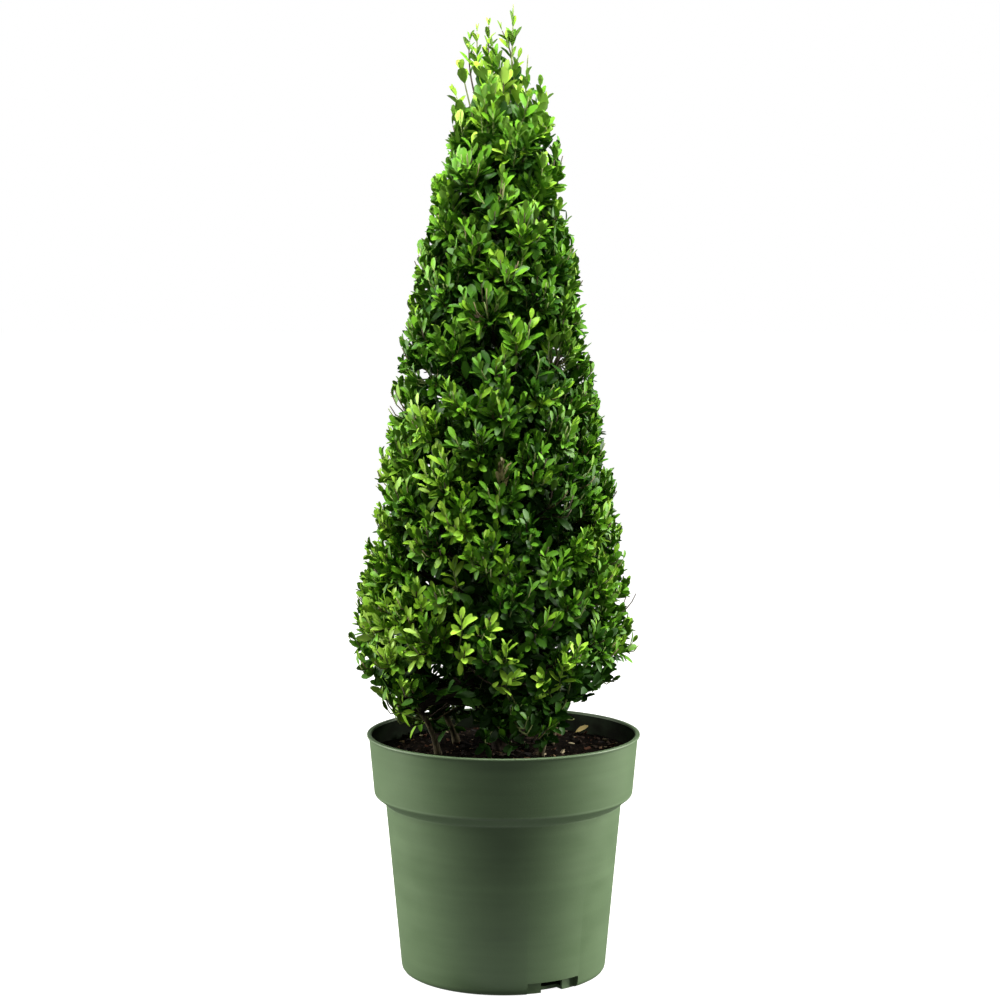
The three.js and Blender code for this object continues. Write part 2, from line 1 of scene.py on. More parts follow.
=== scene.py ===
# Potted Japanese holly pyramid: the looks of its leaves, twigs, stems, soil and pot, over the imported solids.
# Sizes of the object are in millimetres and angles in degrees, as in the solids' source. A mesh is put into
# metres when it is made. -Y is the front, +Z is up.
import math

import bpy
import numpy as np
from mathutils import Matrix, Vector, noise


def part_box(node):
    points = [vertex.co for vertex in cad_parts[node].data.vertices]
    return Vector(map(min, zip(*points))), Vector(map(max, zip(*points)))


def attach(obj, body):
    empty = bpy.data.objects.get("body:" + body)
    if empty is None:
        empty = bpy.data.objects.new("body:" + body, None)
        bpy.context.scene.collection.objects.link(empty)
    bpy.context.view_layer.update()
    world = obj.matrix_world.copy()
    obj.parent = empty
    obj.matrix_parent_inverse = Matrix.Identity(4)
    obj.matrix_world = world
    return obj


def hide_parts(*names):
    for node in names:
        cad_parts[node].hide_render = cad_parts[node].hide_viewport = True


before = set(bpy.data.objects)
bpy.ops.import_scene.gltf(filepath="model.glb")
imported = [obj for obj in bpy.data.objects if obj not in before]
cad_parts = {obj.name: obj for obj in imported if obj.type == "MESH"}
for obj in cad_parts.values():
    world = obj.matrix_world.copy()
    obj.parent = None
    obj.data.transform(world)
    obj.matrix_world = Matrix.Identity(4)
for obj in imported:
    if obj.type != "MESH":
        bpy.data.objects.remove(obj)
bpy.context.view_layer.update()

MM = 0.001
UP = np.array([0.0, 0.0, 1.0])
FRONT = np.array([0.0, -1.0, 0.0])
WHITE = (1, 1, 1)

# Pot, as in the solids. Near the rim leaves stay over it, and past its top some rings are still clean
POT_HEIGHT = (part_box("pot")[1][2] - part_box("pot")[0][2]) / MM
RIM_RADIUS = (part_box("pot")[1][0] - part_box("pot")[0][0]) / MM / 2
POT_WALL = 1.8
POT_FLOOR = 2.4
POT_SEGMENTS = 192
POT_SHARP_ANGLE = 32
RIM_ROOM = 10
LIP_HEIGHT = 1.5
LIP_DRAFT = 0.1
LIP_RINGS = 6
COLLAR_TOP = POT_HEIGHT - LIP_HEIGHT
COLLAR_TOP_RADIUS = 93.8
COLLAR_FOOT_RADIUS = 90.1
COLLAR_FOOT = 125
COLLAR_BEVEL = 6
BEVEL_FOOT = COLLAR_FOOT - COLLAR_BEVEL
BODY_TOP_RADIUS = 82.3
BASE_RADIUS = 71.2
BASE_CORNER = 4
DRAIN_COUNT = 2
DRAIN_TURN = -61
DRAIN_ARC = 32
DRAIN_HEIGHT = 8.4
DRAIN_DEPTH = 3.6
DRAIN_PAD_ARC = 35
DRAIN_PAD_INSET = 1.2
DRAIN_PAD_SINK = 0.4
DRAIN_CUT_FOOT = -1
SLOT_ARC = 14
SLOT_HEIGHT = 7.4
SLOT_REACH = 6
SLOT_CUT_FOOT = -1.2

# Soil, as in the solids
SOIL_DEPTH = 13
SOIL_EDGE = POT_HEIGHT - SOIL_DEPTH
SOIL_GAP = 0.4
SOIL_FOOT_RADIUS = 58
SOIL_SHOULDER = 25
SOIL_DOME = 1.6
SOIL_FLAT_RADIUS = 56
SOIL_RELIEF = 1.7
SOIL_GRAIN = 9
SOIL_SINK = 0.6
SOIL_SEGMENTS = 128
SOIL_RINGS = 52
GROUND = SOIL_EDGE + SOIL_DOME
STEM_GAP = 0.3
STEM_FOOT = GROUND + STEM_GAP

# Crumbs of the soil, as a fractal pattern: fall, ratio and number of its sizes, and where it is cut
SOIL_CRUMBS = (0.9, 2.1, 4)
SOIL_CRUMBS_LEVEL = 3.0

# Bits on the soil
CHIPS = 900
CHIP_SEED = 7
CHIP_SIZES = (1.2, 6.5)
CHIP_WIDTHS = (0.3, 0.8)
CHIP_HEIGHTS = (0.15, 0.4)
CHIP_WEAR = (0.55, 1.1)
CHIP_TILT = 0.3
CHIP_RAISE = 0.4
CHIP_EDGE_ROOM = 5
CHIP_SHARP_ANGLE = 25
CHIP_CORNERS = np.array([[x, y, z] for z in (-1, 1) for y in (-1, 1) for x in (-1, 1)], dtype=float)
CHIP_SIDES = [(0, 2, 3, 1), (4, 5, 7, 6), (0, 1, 5, 4), (2, 6, 7, 3), (0, 4, 6, 2), (1, 3, 7, 5)]
FALLEN_LEAVES = [(72, 10), (-61, -34), (18, -72), (-30, 58), (52, 55)]
FALLEN_SEED = 12
FALLEN_RAISE = 1.2
FALLEN_RISE = 0.12
FALLEN_TILT = 0.15
FALLEN_LENGTH = 13
FALLEN_SIZES = (0.85, 1.1)
FALLEN_WIDTH = 5.8
FALLEN_CURL = -0.35
FALLEN_CUP = 0.3

# Trunk, as in the solids
TRUNK_TIP = 515
TRUNK_FOOT_RADIUS = 4.8
TRUNK_TIP_RADIUS = 2.2
TRUNK_TAPER = 0.8
TRUNK_FLARE = 0.6
TRUNK_FLARE_HEIGHT = 9
TRUNK_LEAN = 8
TRUNK_BEND = 3
TRUNK_RINGS = 110
TRUNK_SIDES = 24

# Side stems, as in the solids: angle, distance of the foot from the axis, and of the tip
SIDE_STEMS = [(-48, 38, 50), (20, 35, 52), (80, 42, 57), (150, 38, 54), (206, 50, 65)]
SIDE_STEM_FOOT_RADIUS = 2.2
SIDE_STEM_TIP_RADIUS = 1.7
SIDE_STEM_TIP = 188
SIDE_STEM_TWIST = 4
SIDE_STEM_KNEE = 0.45
SIDE_STEM_BOW = 3
SIDE_STEM_PULLS = (0.75, 0.3)
SIDE_STEM_FLARE = 0.35
SIDE_STEM_FLARE_FADE = 9
SIDE_STEM_SIDES = 16
LIMB_STEPS = 24

# Ridges and knots of the bark: width of the pattern round the limb, and its step from ring to ring
BARK_RELIEF = 0.16
BARK_RIDGES = (2.2, 0.16)
BARK_KNOTS = (0.8, 0.3)
BARK_KNOT_SEED = 50
TRUNK_BARK_SEED = 1
SIDE_STEM_BARK_SEED = 10
LOW_BOUGH_BARK_SEED = 30

# Outline of the crown, as in the solids
CROWN_FOOT = 176
CROWN_FOOT_RADIUS = 62
CROWN_WIDEST = 232
CROWN_RADIUS = 100
CROWN_BELLY = 2
CROWN_SHOULDER = 600
CROWN_SHOULDER_RADIUS = 34
CROWN_TOP = 648
CROWN_SLICES = 400
CROWN_LEAN = 6.5
CROWN_LEAN_CURVE = 2.5
CORE_DEPTH = 28
CORE_LEAST_RADIUS = 5
CORE_RAISE = 8
CORE_FOOT = 192
CORE_TOP = 622
CORE_SKIN = 2

# Tiers of masses, as in the solids: name, number of masses, angle of the first, lowest and highest level
TIER_SLOPE = 1.3
TIERS = [
    ("lower_foliage", 5, -70, -200, 197),
    ("middle_foliage", 4, -80, 197, 343),
    ("upper_foliage", 3, 20, 343, 472),
    ("top_foliage", 1, 0, 472, 800),
]

# Sprays, as in the solids
SPRAYS = 180
SPRAY_SEED = 1000
SPRAY_RISE_FOOT = -30
SPRAY_RISE_SHOULDER = 64
SPRAY_RISE_TOP = 88
SPRAY_RISE_CURVE = 0.4
SPRAY_JITTER = 9
SPRAY_SWING = 24
SPRAY_FULL_RADIUS = 44
SPRAY_LEAST_SIZE = 0.7
SPRAY_LEAF_LENGTH = 27
SPRAY_LEAF_LAP = 1.5
TWIG_LENGTH = 18
TWIG_LONGEST = 66
TWIG_STEP = 2
TWIG_SUNK = 6
GOLDEN_ANGLE = 137.508

# Boughs, from the trunk or a side stem to the foot of each spray
BOUGH_SEED = 23
BOUGH_RISE = 0.8
BOUGH_SET_OFF = 0.7
BOUGH_SUNK = 2
BOUGH_PULLS = (0.4, 0.25)
BOUGH_WANDER = 0.5
BOUGH_RADII = (2.0, 1.1)
BOUGH_STEPS = 14
BOUGH_SIDES = 6
LOWEST_BOUGH = 20
SIDE_STEM_REACH = 225

# Thick low boughs that leave the trunk near the soil: a route seen from the front, turned about the axis
LOW_BOUGH = [(-4, 1, 163), (-9, -18, 184), (-28, -36, 214), (-40, -52, 250)]
LOW_BOUGH_TURNS = [0, 128, 236]
LOW_BOUGH_RADII = (3.6, 2.2)
LOW_BOUGH_SIDES = 12

# Fine shoots, the next branching after the sprays
SHOOTS = 2850
SHOOT_SEED = 41
SHOOT_SCATTER = 4.5
SHOOT_SLIP_RADIUS = 8
SHOOT_DEPTH_SCATTER = 2
SHOOT_FAN = 40
SHOOT_WANDER = 0.2
SHOOT_UPTURN = 2.6
SHOOT_SKIRT_UPTURN = 0.9
SHOOT_UPTURNS = (0.5, 1.3)
SHOOT_TIP = 6.5
SHOOT_LEAST_RADIUS = 0.2
SHOOT_FEET = (0.05, 0.5)
SHOOT_PULLS = (0.35, 0.45)
SHOOT_RADII = (0.85, 0.4)
SHOOT_STEPS = 6
SHOOT_TONE_SCATTER = 0.75
TUFT_GATHER = 0.8
TUFT_HEIGHT = 2
TUFT_RADIUS = 18
TUFT_EDGE = 1.3
TUFT_FALL = 11
TUFT_SINK = 2
THIN_SPRAYS = 0.1
THIN_SHARE = 0.45
DEEP_SHARE = 0.25
DEEP_SHOOTS = (6, 16)
# How much darker the shoots set deeper in the crown are: painted shade
DEEP_SHADE_DROP = 1.1
SKIRT_TOP = 272
SKIRT_OPEN = 234
SKIRT_SHARE = 0.14
SKIRT_LEFT_SHARE = 0.4
SKIRT_LEFT = -45
SKIRT_NODES = 4
LOOSE_TOP = 600
TOP_SHARE = 0.3

# Above this height no shoots but the long ones stand, and on the right it falls with each millimetre across
RAGGED_TOP = 617
RAGGED_FALL = 0.75

# Hollows where the growth is thin and the shade inside shows, repeated round the plant: angle, height, radius
HOLLOWS = [
    (-100, 285, 13), (-101, 266, 19), (-113, 244, 14), (-84, 248, 12), (-100, 222, 15), (-62, 328, 18),
    (-71, 251, 14), (-65, 427, 11), (-100, 540, 13), (-118, 297, 12), (-98, 460, 10), (180, 331, 12),
    (-80, 225, 15), (-63, 230, 13),
]
HOLLOW_SHARE = 0.22
HOLLOW_DEPTH = 14
HOLLOW_CLEAR = 9

# How far leaves may stand over the clipped crown, on the left by height, and how far inside it those in its
# shade end
LEAF_OVERHANG = 2.5
LEFT_OVERHANG = [(560, 2.5), (590, -1.5), (620, 1)]
SHADE_INSET = 8

# On the right the skirt is open: from this distance across, nothing hangs lower than this height, which rises
# with each millimetre further across and further to the front
OPEN_SIDE = (44, 187)
OPEN_SIDE_RISE = (0.45, 0.18)

# At the front left too, where the limbs show: from and to, across, and the lowest height
OPEN_FRONT = (-62, -22, 203)

# Gaps at the crown's edges through which the sky shows from the front: across, height, radius
SKY_GAPS = [(36, 430, 6), (38, 420, 6.5), (41, 402, 5), (-53, 416, 6), (-72, 392, 6), (-24, 609, 7)]

# Sprigs on the low limbs. The tone of each kind is given with its scatter
SPRIG_SEED = 9
SPRIG_STEPS = 8
SPRIG_FEET = (1, 8)
SPRIG_PULLS = (0.3, 0.4)
SPRIG_SET_OFF = 0.4

# Bright sprigs along the edge of the skirt, repeated round the plant: angle, distance from the axis, height.
# Those at the front, and not their turned copies, get a brighter leaf colour, painted light
SKIRT_SPRIGS = [
    (-107, 95, 262), (-95, 95, 258), (-106, 92, 238), (-89, 90, 240), (-85, 87, 220), (-73, 87, 219),
    (-63, 90, 229), (-58, 96, 243),
]
SKIRT_LEFT_SPRIGS = [(-135, 84, 212), (-148, 84, 202), (-163, 84, 196), (-178, 84, 200), (168, 82, 194)]
SKIRT_TURNS = [0, 118, 228]
SKIRT_RISE = 72
SKIRT_WANDER = 0.2
SKIRT_TONE = (5.4, 0.5)

# Leafy sprigs low on the limbs, close to the soil: across, front to back, height
LOW_SPRIGS = [
    (-12, -50, 174), (-3, -48, 180), (5, -52, 172), (24, -46, 184), (31, -48, 176), (38, -43, 182),
    (27, -40, 168),
]
LOW_OUTWARD = 0.6
LOW_WANDER = 0.35
# Their dark tone, with its scatter, is painted shade under the crown
LOW_SHADE_TONE = (0.5, 0.6)

# Dark sprigs in the shade under the crown, which stay nearer to the axis at the front
SHADE_SPRIGS = 150
SHADE_HEIGHTS = (178, 214)
SHADE_RADII = (12, 76)
SHADE_FRONT = (-150, 40)
SHADE_FRONT_RADIUS = 50
SHADE_RISE = 40
SHADE_WANDER = 0.4
SHADE_TONE = (0.2, 0.4)

# Long shoots that the shears missed: foot, tip, size of the leaves, tone, bare length at the tip
LEADERS = [
    ((3, -3, 585), (6.6, -2, 667), 1.0, 4.4, 9),
    ((-14, 2, 598), (-10, 3, 653), 0.78, 5.2, 0),
    ((-15, 3, 598), (-18, 4, 649), 0.78, 5.2, 0),
    ((5, -3, 608), (-1, -4, 649), 0.95, 4.8, 0),
    ((0, -4, 606), (-7, -5, 638), 1.05, 4.2, 0),
    ((-12, -3, 602), (-20.5, -4, 635), 1.05, 4.5, 0),
    ((6, -2, 608), (10.5, -4, 633), 0.95, 4.4, 3),
    ((-15, 2, 594), (-23, 3, 643), 0.95, 3.6, 0),
    ((-6, -3, 594), (-10, -4, 633), 1.1, 4.4, 0),
    ((14, -5, 578), (16.6, -5, 633), 1.05, 3.6, 14),
    ((20, -5, 574), (24.5, -6, 619), 1.05, 3.8, 7),
    ((-18, -4, 582), (-28, -6, 622), 1.2, 4.6, 0),
    ((-22, -3, 570), (-32, -4, 605), 1.15, 4.4, 0),
    ((-9, -8, 586), (-14, -10, 620), 1.2, 5.6, 0),
    ((2, -8, 586), (1, -9, 620), 1.15, 6.2, 0),
    ((-2, -10, 582), (-5, -12, 611), 1.15, 6.0, 0),
    ((8, -9, 578), (10, -11, 606), 1.15, 5.6, 0),
    ((12, -8, 576), (18, -10, 601), 1.15, 4.8, 0),
    ((20, -5, 570), (28, -6, 602), 1.15, 4.4, 0),
    ((-12, 10, 586), (-16, 13, 620), 1.1, 4.6, 0),
    ((-4, 12, 586), (-3, 16, 616), 1.1, 5.0, 0),
    ((8, 10, 586), (12, 14, 613), 1.1, 4.8, 0),
]
LEADER_SEED = 5
LEADER_BOW = 2
LEADER_PULLS = (0.3, 0.7)
LEADER_STEPS = 12
LEADER_NODES = [0, 8, 15, 23, 32]
LEADER_SPREAD = 0.68

# The sprig that has died
DEAD_TIP = (1, -79, 358)
DEAD_SEED = 3
DEAD_TWIGS = 2
DEAD_LEAN = 0.35
DEAD_WANDER = 0.12
DEAD_LENGTH = 34
DEAD_SINK = 14
DEAD_PULLS = (10, 14)
DEAD_TIP_SCATTER = 2
DEAD_STEPS = 9
DEAD_SIZE = 0.75
DEAD_SPREAD = 0.45

# Leaves: sizes, share of the length and of the width at each station, and what each pair down a shoot has
LEAF_LENGTH = 11.6
LEAF_WIDTH = 4.6
LEAF_SIZES = (0.84, 1.14)
LEAF_WIDTHS = (0.9, 1.12)
LEAF_CURLS = (0, 0.55)
LEAF_LEAST_CURL = 0.02
LEAF_CUPS = (0.12, 0.42)
LEAF_TOP_GROWTH = 0.2
LEAF_TOP_RADIUS = 1.5
LEAF_TOP_ROUNDING = 2.4
LEAF_THICKNESS = 0.28
LEAF_STATIONS = [(0.28, 0.68), (0.62, 1.0), (0.9, 0.6)]
LEAF_NODES = [0, 4, 9, 14.5, 20.5]
LEAF_NODE_SLIP = (0.88, 1.12)
LEAF_NODE_SIZES = [0.66, 0.9, 1.02, 1.06, 1.04]
LEAF_NODE_SPREADS = [14, 25, 35, 42, 48]
LEAF_NODE_FADE = 0.5
LEAF_NODE_TURN = 0.25
LEAF_SWING = 0.18
LEAF_SPREAD_SCATTER = 9
LEAF_FACING_SCATTER = 0.16
LEAF_TONE_SCATTER = 0.45
LEAF_LIGHT = (0.5, 0.9)
LEAF_TURN_TO_LIGHT = 0.35
LEAF_CLEARANCE = 2
LEAF_BLADE_MIDDLE = 0.6

# Tone of the leaves by height, lighter at the top partly for young growth and partly as painted light, what
# the left side adds to it, and how much the front of the top is lighter, as painted light
SPRAY_TONES = [(176, 2.7), (240, 2.8), (300, 3.0), (400, 2.7), (470, 2.7), (540, 3.0), (590, 3.9), (648, 4.4)]
SPRAY_TONE_SCATTER = 0.55
LEFT_SIDE = -25
LEFT_TONES = [(230, 1.9), (300, 1.1), (418, 1.1), (420, 0)]
FRONT_PAINTED_LIGHT = 1.6
FRONT_PAINTED_LIGHT_FOOT = 560
FRONT_PAINTED_LIGHT_MIDDLE = 0.5

# Older leaves inside the crown, whose darkest tones are partly painted shade
INNER_LEAVES = 9500
INNER_SEED = 77
INNER_FOOT = 184
INNER_PLACES = (0.2, 0.8)
INNER_SCATTER = 6
INNER_WANDER = 0.7
INNER_TILT = 0.3
INNER_SIZES = (0.95, 1.35)
INNER_WIDTH = 0.45
INNER_CURL = 0.3
INNER_CUP = 0.25
INNER_DARK_SHARE = 0.4

# Colours of the leaves, with the tones first, from deep to pale, and of twigs, boughs and chips
LEAF_COLOURS = {
    "deep": (0.014, 0.056, 0.0035),
    "dark": (0.032, 0.108, 0.005),
    "mid": (0.063, 0.182, 0.008),
    "fresh": (0.094, 0.245, 0.0105),
    "bright": (0.152, 0.31, 0.016),
    "young": (0.21, 0.365, 0.034),
    "pale": (0.235, 0.385, 0.055),
    # Brighter than any tone: painted light on the front sprigs of the skirt
    "painted_front_light": (0.28, 0.5, 0.045),
    "underside": (0.09, 0.19, 0.02),
    "dead": (0.11, 0.1, 0.042),
}
LEAF_TINTS = list(LEAF_COLOURS)
DEEP = LEAF_TINTS.index("deep")
DARK = LEAF_TINTS.index("dark")
YOUNG = LEAF_TINTS.index("young")
PALE = LEAF_TINTS.index("pale")
PAINTED_FRONT_LIGHT = LEAF_TINTS.index("painted_front_light")
UNDERSIDE = LEAF_TINTS.index("underside")
DEAD = LEAF_TINTS.index("dead")
TWIG_COLOURS = {"green": (0.13, 0.17, 0.05), "tan": (0.13, 0.11, 0.05), "brown": (0.05, 0.037, 0.022)}
TWIG_SHARES = [0.6, 0.15, 0.25]
TWIG_SIDES = 3
BOUGH_COLOURS = {"dark": (0.022, 0.017, 0.011), "light": (0.045, 0.036, 0.022)}
CHIP_COLOURS = {
    "black": (0.006, 0.004, 0.003),
    "brown": (0.026, 0.015, 0.009),
    "red": (0.07, 0.028, 0.014),
    "tan": (0.13, 0.085, 0.045),
    "cream": (0.32, 0.27, 0.17),
}
CHIP_SHARES = [0.42, 0.34, 0.1, 0.1, 0.04]

# Camera, which was fitted to the pot's rim and foot in the photograph
CAMERA_PLACE = (-2.4, -1556.2, 468.2)
CAMERA_PITCH = 5.092
CAMERA_LENS = 81.3
CAMERA_SENSOR = 36

# Stage, in metres and watts. A softbox: name, place, size, power, height that it looks at, spread
FLOOR_REACH = 30
FLOOR_ALBEDO = 0.35
BACKGROUND = 1.0
FILL_LIGHT = 0.195
SOFTBOXES = [
    ("left_softbox", (-1.6, 0.25, 0.75), (1.0, 1.6), 76, 0.35, 180),
    ("right_softbox", (1.6, 0.25, 0.75), (1.0, 1.6), 96, 0.35, 180),
    ("top_softbox", (0, -0.25, 1.3), (0.6, 0.4), 30, 0.35, 180),
    ("front_softbox", (0, -0.7, 0.95), (0.3, 0.3), 0.3, 0.66, 32),
]
SOFTBOX_COLOUR = (1, 0.98, 0.91)
GLOW_SIZE = (0.4, 0.09)
GLOW_POWER = 0.052
GLOW_GAP = 0.004
GLOW_RAISE = 0.003


# Numbers, vectors and curves

def clamp(value, low=0, high=1):
    """A value kept between two others."""
    return min(max(value, low), high)


def lerp(start, end, share):
    """The value or point at a share of the way from one to another."""
    return start + (end - start) * share


def unit(vector):
    """A vector, or each row of an array of them, made one long."""
    return vector / np.maximum(np.linalg.norm(vector, axis=-1, keepdims=True), 1e-9)


def level_way(vector):
    """The direction of a vector, seen from above."""
    return unit(vector * (1, 1, 0))


def across(direction):
    """A unit vector at right angles to a direction."""
    other = UP if abs(direction[2]) < 0.9 else np.array([1.0, 0.0, 0.0])
    return unit(np.cross(direction, other))


def outward(angle, rise):
    """A direction that points outwards at an angle round the axis, and rises above level."""
    level = math.cos(math.radians(rise))
    turn = math.radians(angle)
    return np.array([level * math.cos(turn), level * math.sin(turn), math.sin(math.radians(rise))])


def around_axis(radius, angle, height):
    """A point at a radius, angle and height about the pot's axis."""
    return outward(angle, 0) * radius + UP * height


def turned_about(points, turn):
    """Points turned about an upright axis, by an angle in radians."""
    spin = [[math.cos(turn), math.sin(turn), 0], [-math.sin(turn), math.cos(turn), 0], [0, 0, 1]]
    return np.asarray(points, dtype=float) @ np.array(spin)


def bezier(start, start_pull, end_pull, end, steps):
    """Points along a cubic curve."""
    t = np.linspace(0, 1, steps)[:, None]
    s = 1 - t
    return s**3 * start + 3 * s * s * t * start_pull + 3 * s * t * t * end_pull + t**3 * end


def grown_path(foot, set_off, tip, way, pulls, steps):
    """The curve of a shoot that sets off in one direction and comes to its tip in another."""
    span = np.linalg.norm(tip - foot)
    first, last = pulls
    return bezier(foot, foot + set_off * span * first, tip - way * span * last, tip, steps)


# Meshes

def ring_faces(rings, sides):
    """Walls and caps of a closed solid whose points are rings, then one for its foot and its tip each."""
    here = np.arange(sides)
    after = (here + 1) % sides
    starts = np.arange(rings - 1)[:, None] * sides
    ahead = starts + sides
    walls = np.stack([starts + here, starts + after, ahead + after, ahead + here], axis=-1)
    last = (rings - 1) * sides
    foot = np.stack([after, here, np.full(sides, last + sides)], axis=-1)
    tip = np.stack([last + here, last + after, np.full(sides, last + sides + 1)], axis=-1)
    return walls.reshape(-1, 4), np.concatenate([foot, tip])


def tube_points(path, radii, sides):
    """Points of a closed tube. A row of radii gives each ring a radius, or each of its points."""
    path = np.asarray(path)
    tangents = unit(np.gradient(path, axis=0))
    radii = np.asarray(radii)
    radii = radii if radii.ndim == 2 else np.repeat(radii[:, None], sides, axis=1)
    turn = np.arange(sides) * 2 * math.pi / sides
    side = across(tangents[0])
    rings = []
    for centre, tangent, radius in zip(path, tangents, radii):
        side = unit(side - tangent * side.dot(tangent))
        other = np.cross(tangent, side)
        spokes = np.cos(turn)[:, None] * side + np.sin(turn)[:, None] * other
        rings.append(centre + radius[:, None] * spokes)
    return np.concatenate([*rings, path[:1], path[-1:]])


def turned_solid(profile, segments):
    """Points and faces of a solid turned about the axis, from a profile that starts and ends on it."""
    turn = np.arange(segments) * 2 * math.pi / segments
    circle = np.stack([np.cos(turn), np.sin(turn)], axis=-1)
    inner = np.asarray(profile[1:-1], dtype=float)
    rings = np.empty((len(inner), segments, 3))
    rings[:, :, :2] = inner[:, :1, None] * circle
    rings[:, :, 2] = inner[:, 1:]
    poles = np.array([[0, 0, profile[0][1]], [0, 0, profile[-1][1]]])
    return np.concatenate([rings.reshape(-1, 3), poles]), *ring_faces(len(inner), segments)


def round_corners(corners, steps=5):
    """A profile with its corners rounded, each given as (radius, height, distance at which it rounds)."""
    profile = []
    for i, (radius, height, cut) in enumerate(corners):
        corner = np.array([radius, height], dtype=float)
        if not cut:
            profile.append(corner)
            continue
        before = corner + unit(np.array(corners[i - 1][:2]) - corner) * cut
        after = corner + unit(np.array(corners[i + 1][:2]) - corner) * cut
        for t in np.linspace(0, 1, steps):
            profile.append((1 - t) ** 2 * before + 2 * t * (1 - t) * corner + t * t * after)
    return profile


class Batch:
    """Points and faces of many small pieces, to be joined into one mesh."""

    def __init__(self):
        self.points = []
        self.faces = []
        self.count = 0

    def add(self, points, *faces):
        """Adds points, and sets of faces over them, each as (corners, index of the material)."""
        for corners, material in faces:
            corners = np.asarray(corners, dtype=np.int64)
            tint = np.broadcast_to(material, len(corners))
            self.faces.append((corners + self.count, tint))
        self.points.append(np.asarray(points, dtype=float))
        self.count += len(points)

    def add_tube(self, path, radii, sides, material=0):
        """Adds a closed tube along a path."""
        walls, caps = ring_faces(len(path), sides)
        self.add(tube_points(path, radii, sides), (walls, material), (caps, material))


def add_object(name, data):
    """A new object in the scene."""
    item = bpy.data.objects.new(name, data)
    bpy.context.scene.collection.objects.link(item)
    return item


def make_piece(name, batch, materials, nodes=(), sharp_angle=None):
    """One joined mesh from a batch, riding on the part's only body."""
    mesh = bpy.data.meshes.new(name)
    points = np.concatenate(batch.points) * MM
    corners = np.concatenate([faces.ravel() for faces, _ in batch.faces])
    sizes = np.concatenate([np.full(len(faces), faces.shape[1]) for faces, _ in batch.faces])
    tints = np.concatenate([tint for _, tint in batch.faces])
    mesh.vertices.add(len(points))
    mesh.vertices.foreach_set("co", points.ravel())
    mesh.loops.add(len(corners))
    mesh.loops.foreach_set("vertex_index", corners)
    mesh.polygons.add(len(sizes))
    mesh.polygons.foreach_set("loop_start", np.concatenate([[0], np.cumsum(sizes)[:-1]]))
    for material in materials:
        mesh.materials.append(material)
    mesh.polygons.foreach_set("material_index", tints)
    mesh.update(calc_edges=True)
    mesh.shade_smooth()
    if sharp_angle is not None:
        mesh.set_sharp_from_angle(angle=math.radians(sharp_angle))
    piece = add_object(name, mesh)
    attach(piece, "root")
    if nodes:
        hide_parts(*nodes)
    return piece


def mark_sharp_rims(piece, on_rim):
    """Makes the edges sharp that run along the rims of leaves, between their two faces."""
    mesh = piece.data
    ends = np.empty(len(mesh.edges) * 2, dtype=np.int32)
    mesh.edges.foreach_get("vertices", ends)
    sharp = on_rim[ends].reshape(-1, 2).all(axis=1)
    attribute = mesh.attributes.new("sharp_edge", "BOOLEAN", "EDGE")
    attribute.data.foreach_set("value", sharp)


# Materials

def new_material(name, colour, roughness, specular):
    """A material with one principled shader, and its shader and node tree for more detail."""
    material = bpy.data.materials.new(name)
    material.use_nodes = True
    tree = material.node_tree
    shader = tree.nodes["Principled BSDF"]
    shader.inputs["Base Color"].default_value = (*colour, 1)
    shader.inputs["Roughness"].default_value = roughness
    shader.inputs["Specular IOR Level"].default_value = specular
    material.diffuse_color = (*colour, 1)
    return material, shader, tree


def plain_materials(prefix, colours, roughness, specular):
    """One material of one plain colour for each name in a table."""
    return [new_material(f"{prefix}_{name}", colours[name], roughness, specular)[0] for name in colours]


def plug(tree, socket, value):
    """Links a socket to another node's output, or sets it to a value."""
    if isinstance(value, bpy.types.NodeSocket):
        tree.links.new(value, socket)
    else:
        socket.default_value = value


def add_node(tree, kind, **inputs):
    """A new node with its inputs plugged."""
    node = tree.nodes.new(f"ShaderNode{kind}")
    for name, value in inputs.items():
        plug(tree, node.inputs[name], value)
    return node


def grey(value):
    """A colour with three equal parts."""
    return (value, value, value)


def object_noise(tree, scale, stretch=(1, 1, 1), detail=4.0):
    """A noise pattern fixed to the object, with its scale in features to a metre."""
    place = add_node(tree, "TexCoord").outputs["Object"]
    stretched = add_node(tree, "Mapping", Vector=place, Scale=stretch).outputs["Vector"]
    return add_node(tree, "TexNoise", Vector=stretched, Scale=scale, Detail=detail).outputs["Fac"]


def ramp(tree, value, stops):
    """A colour ramp over a value, from stops of (position, colour)."""
    node = add_node(tree, "ValToRGB", Fac=value)
    elements = node.color_ramp.elements
    while len(elements) < len(stops):
        elements.new(0.5)
    for element, (position, colour) in zip(elements, stops):
        element.position = position
        element.color = (*colour, 1)
    return node.outputs["Color"]


def add_bump(tree, shader, value, strength, distance):
    """Relief on a shader's normal from a value, the distance in millimetres."""
    bump = add_node(tree, "Bump", Height=value, Strength=strength, Distance=distance * MM)
    tree.links.new(bump.outputs["Normal"], shader.inputs["Normal"])


def mix_colours(tree, share, first, second, kind="MIX"):
    """Two colours mixed by a share."""
    node = add_node(tree, "Mix")
    node.data_type = "RGBA"
    node.blend_type = kind
    for name, value in (("Factor", share), ("A", first), ("B", second)):
        plug(tree, node.inputs[name], (*value, 1) if isinstance(value, tuple) else value)
    return node.outputs["Result"]


def height_share(tree, stops):
    """A grey value by height over the ground, from stops of (height in millimetres, value)."""
    place = add_node(tree, "TexCoord").outputs["Object"]
    height = add_node(tree, "SeparateXYZ", Vector=place).outputs["Z"]
    scale = add_node(tree, "MapRange", Value=height)
    scale.inputs["From Max"].default_value = POT_HEIGHT * MM
    return ramp(tree, scale.outputs["Result"], [(at / POT_HEIGHT, grey(value)) for at, value in stops])


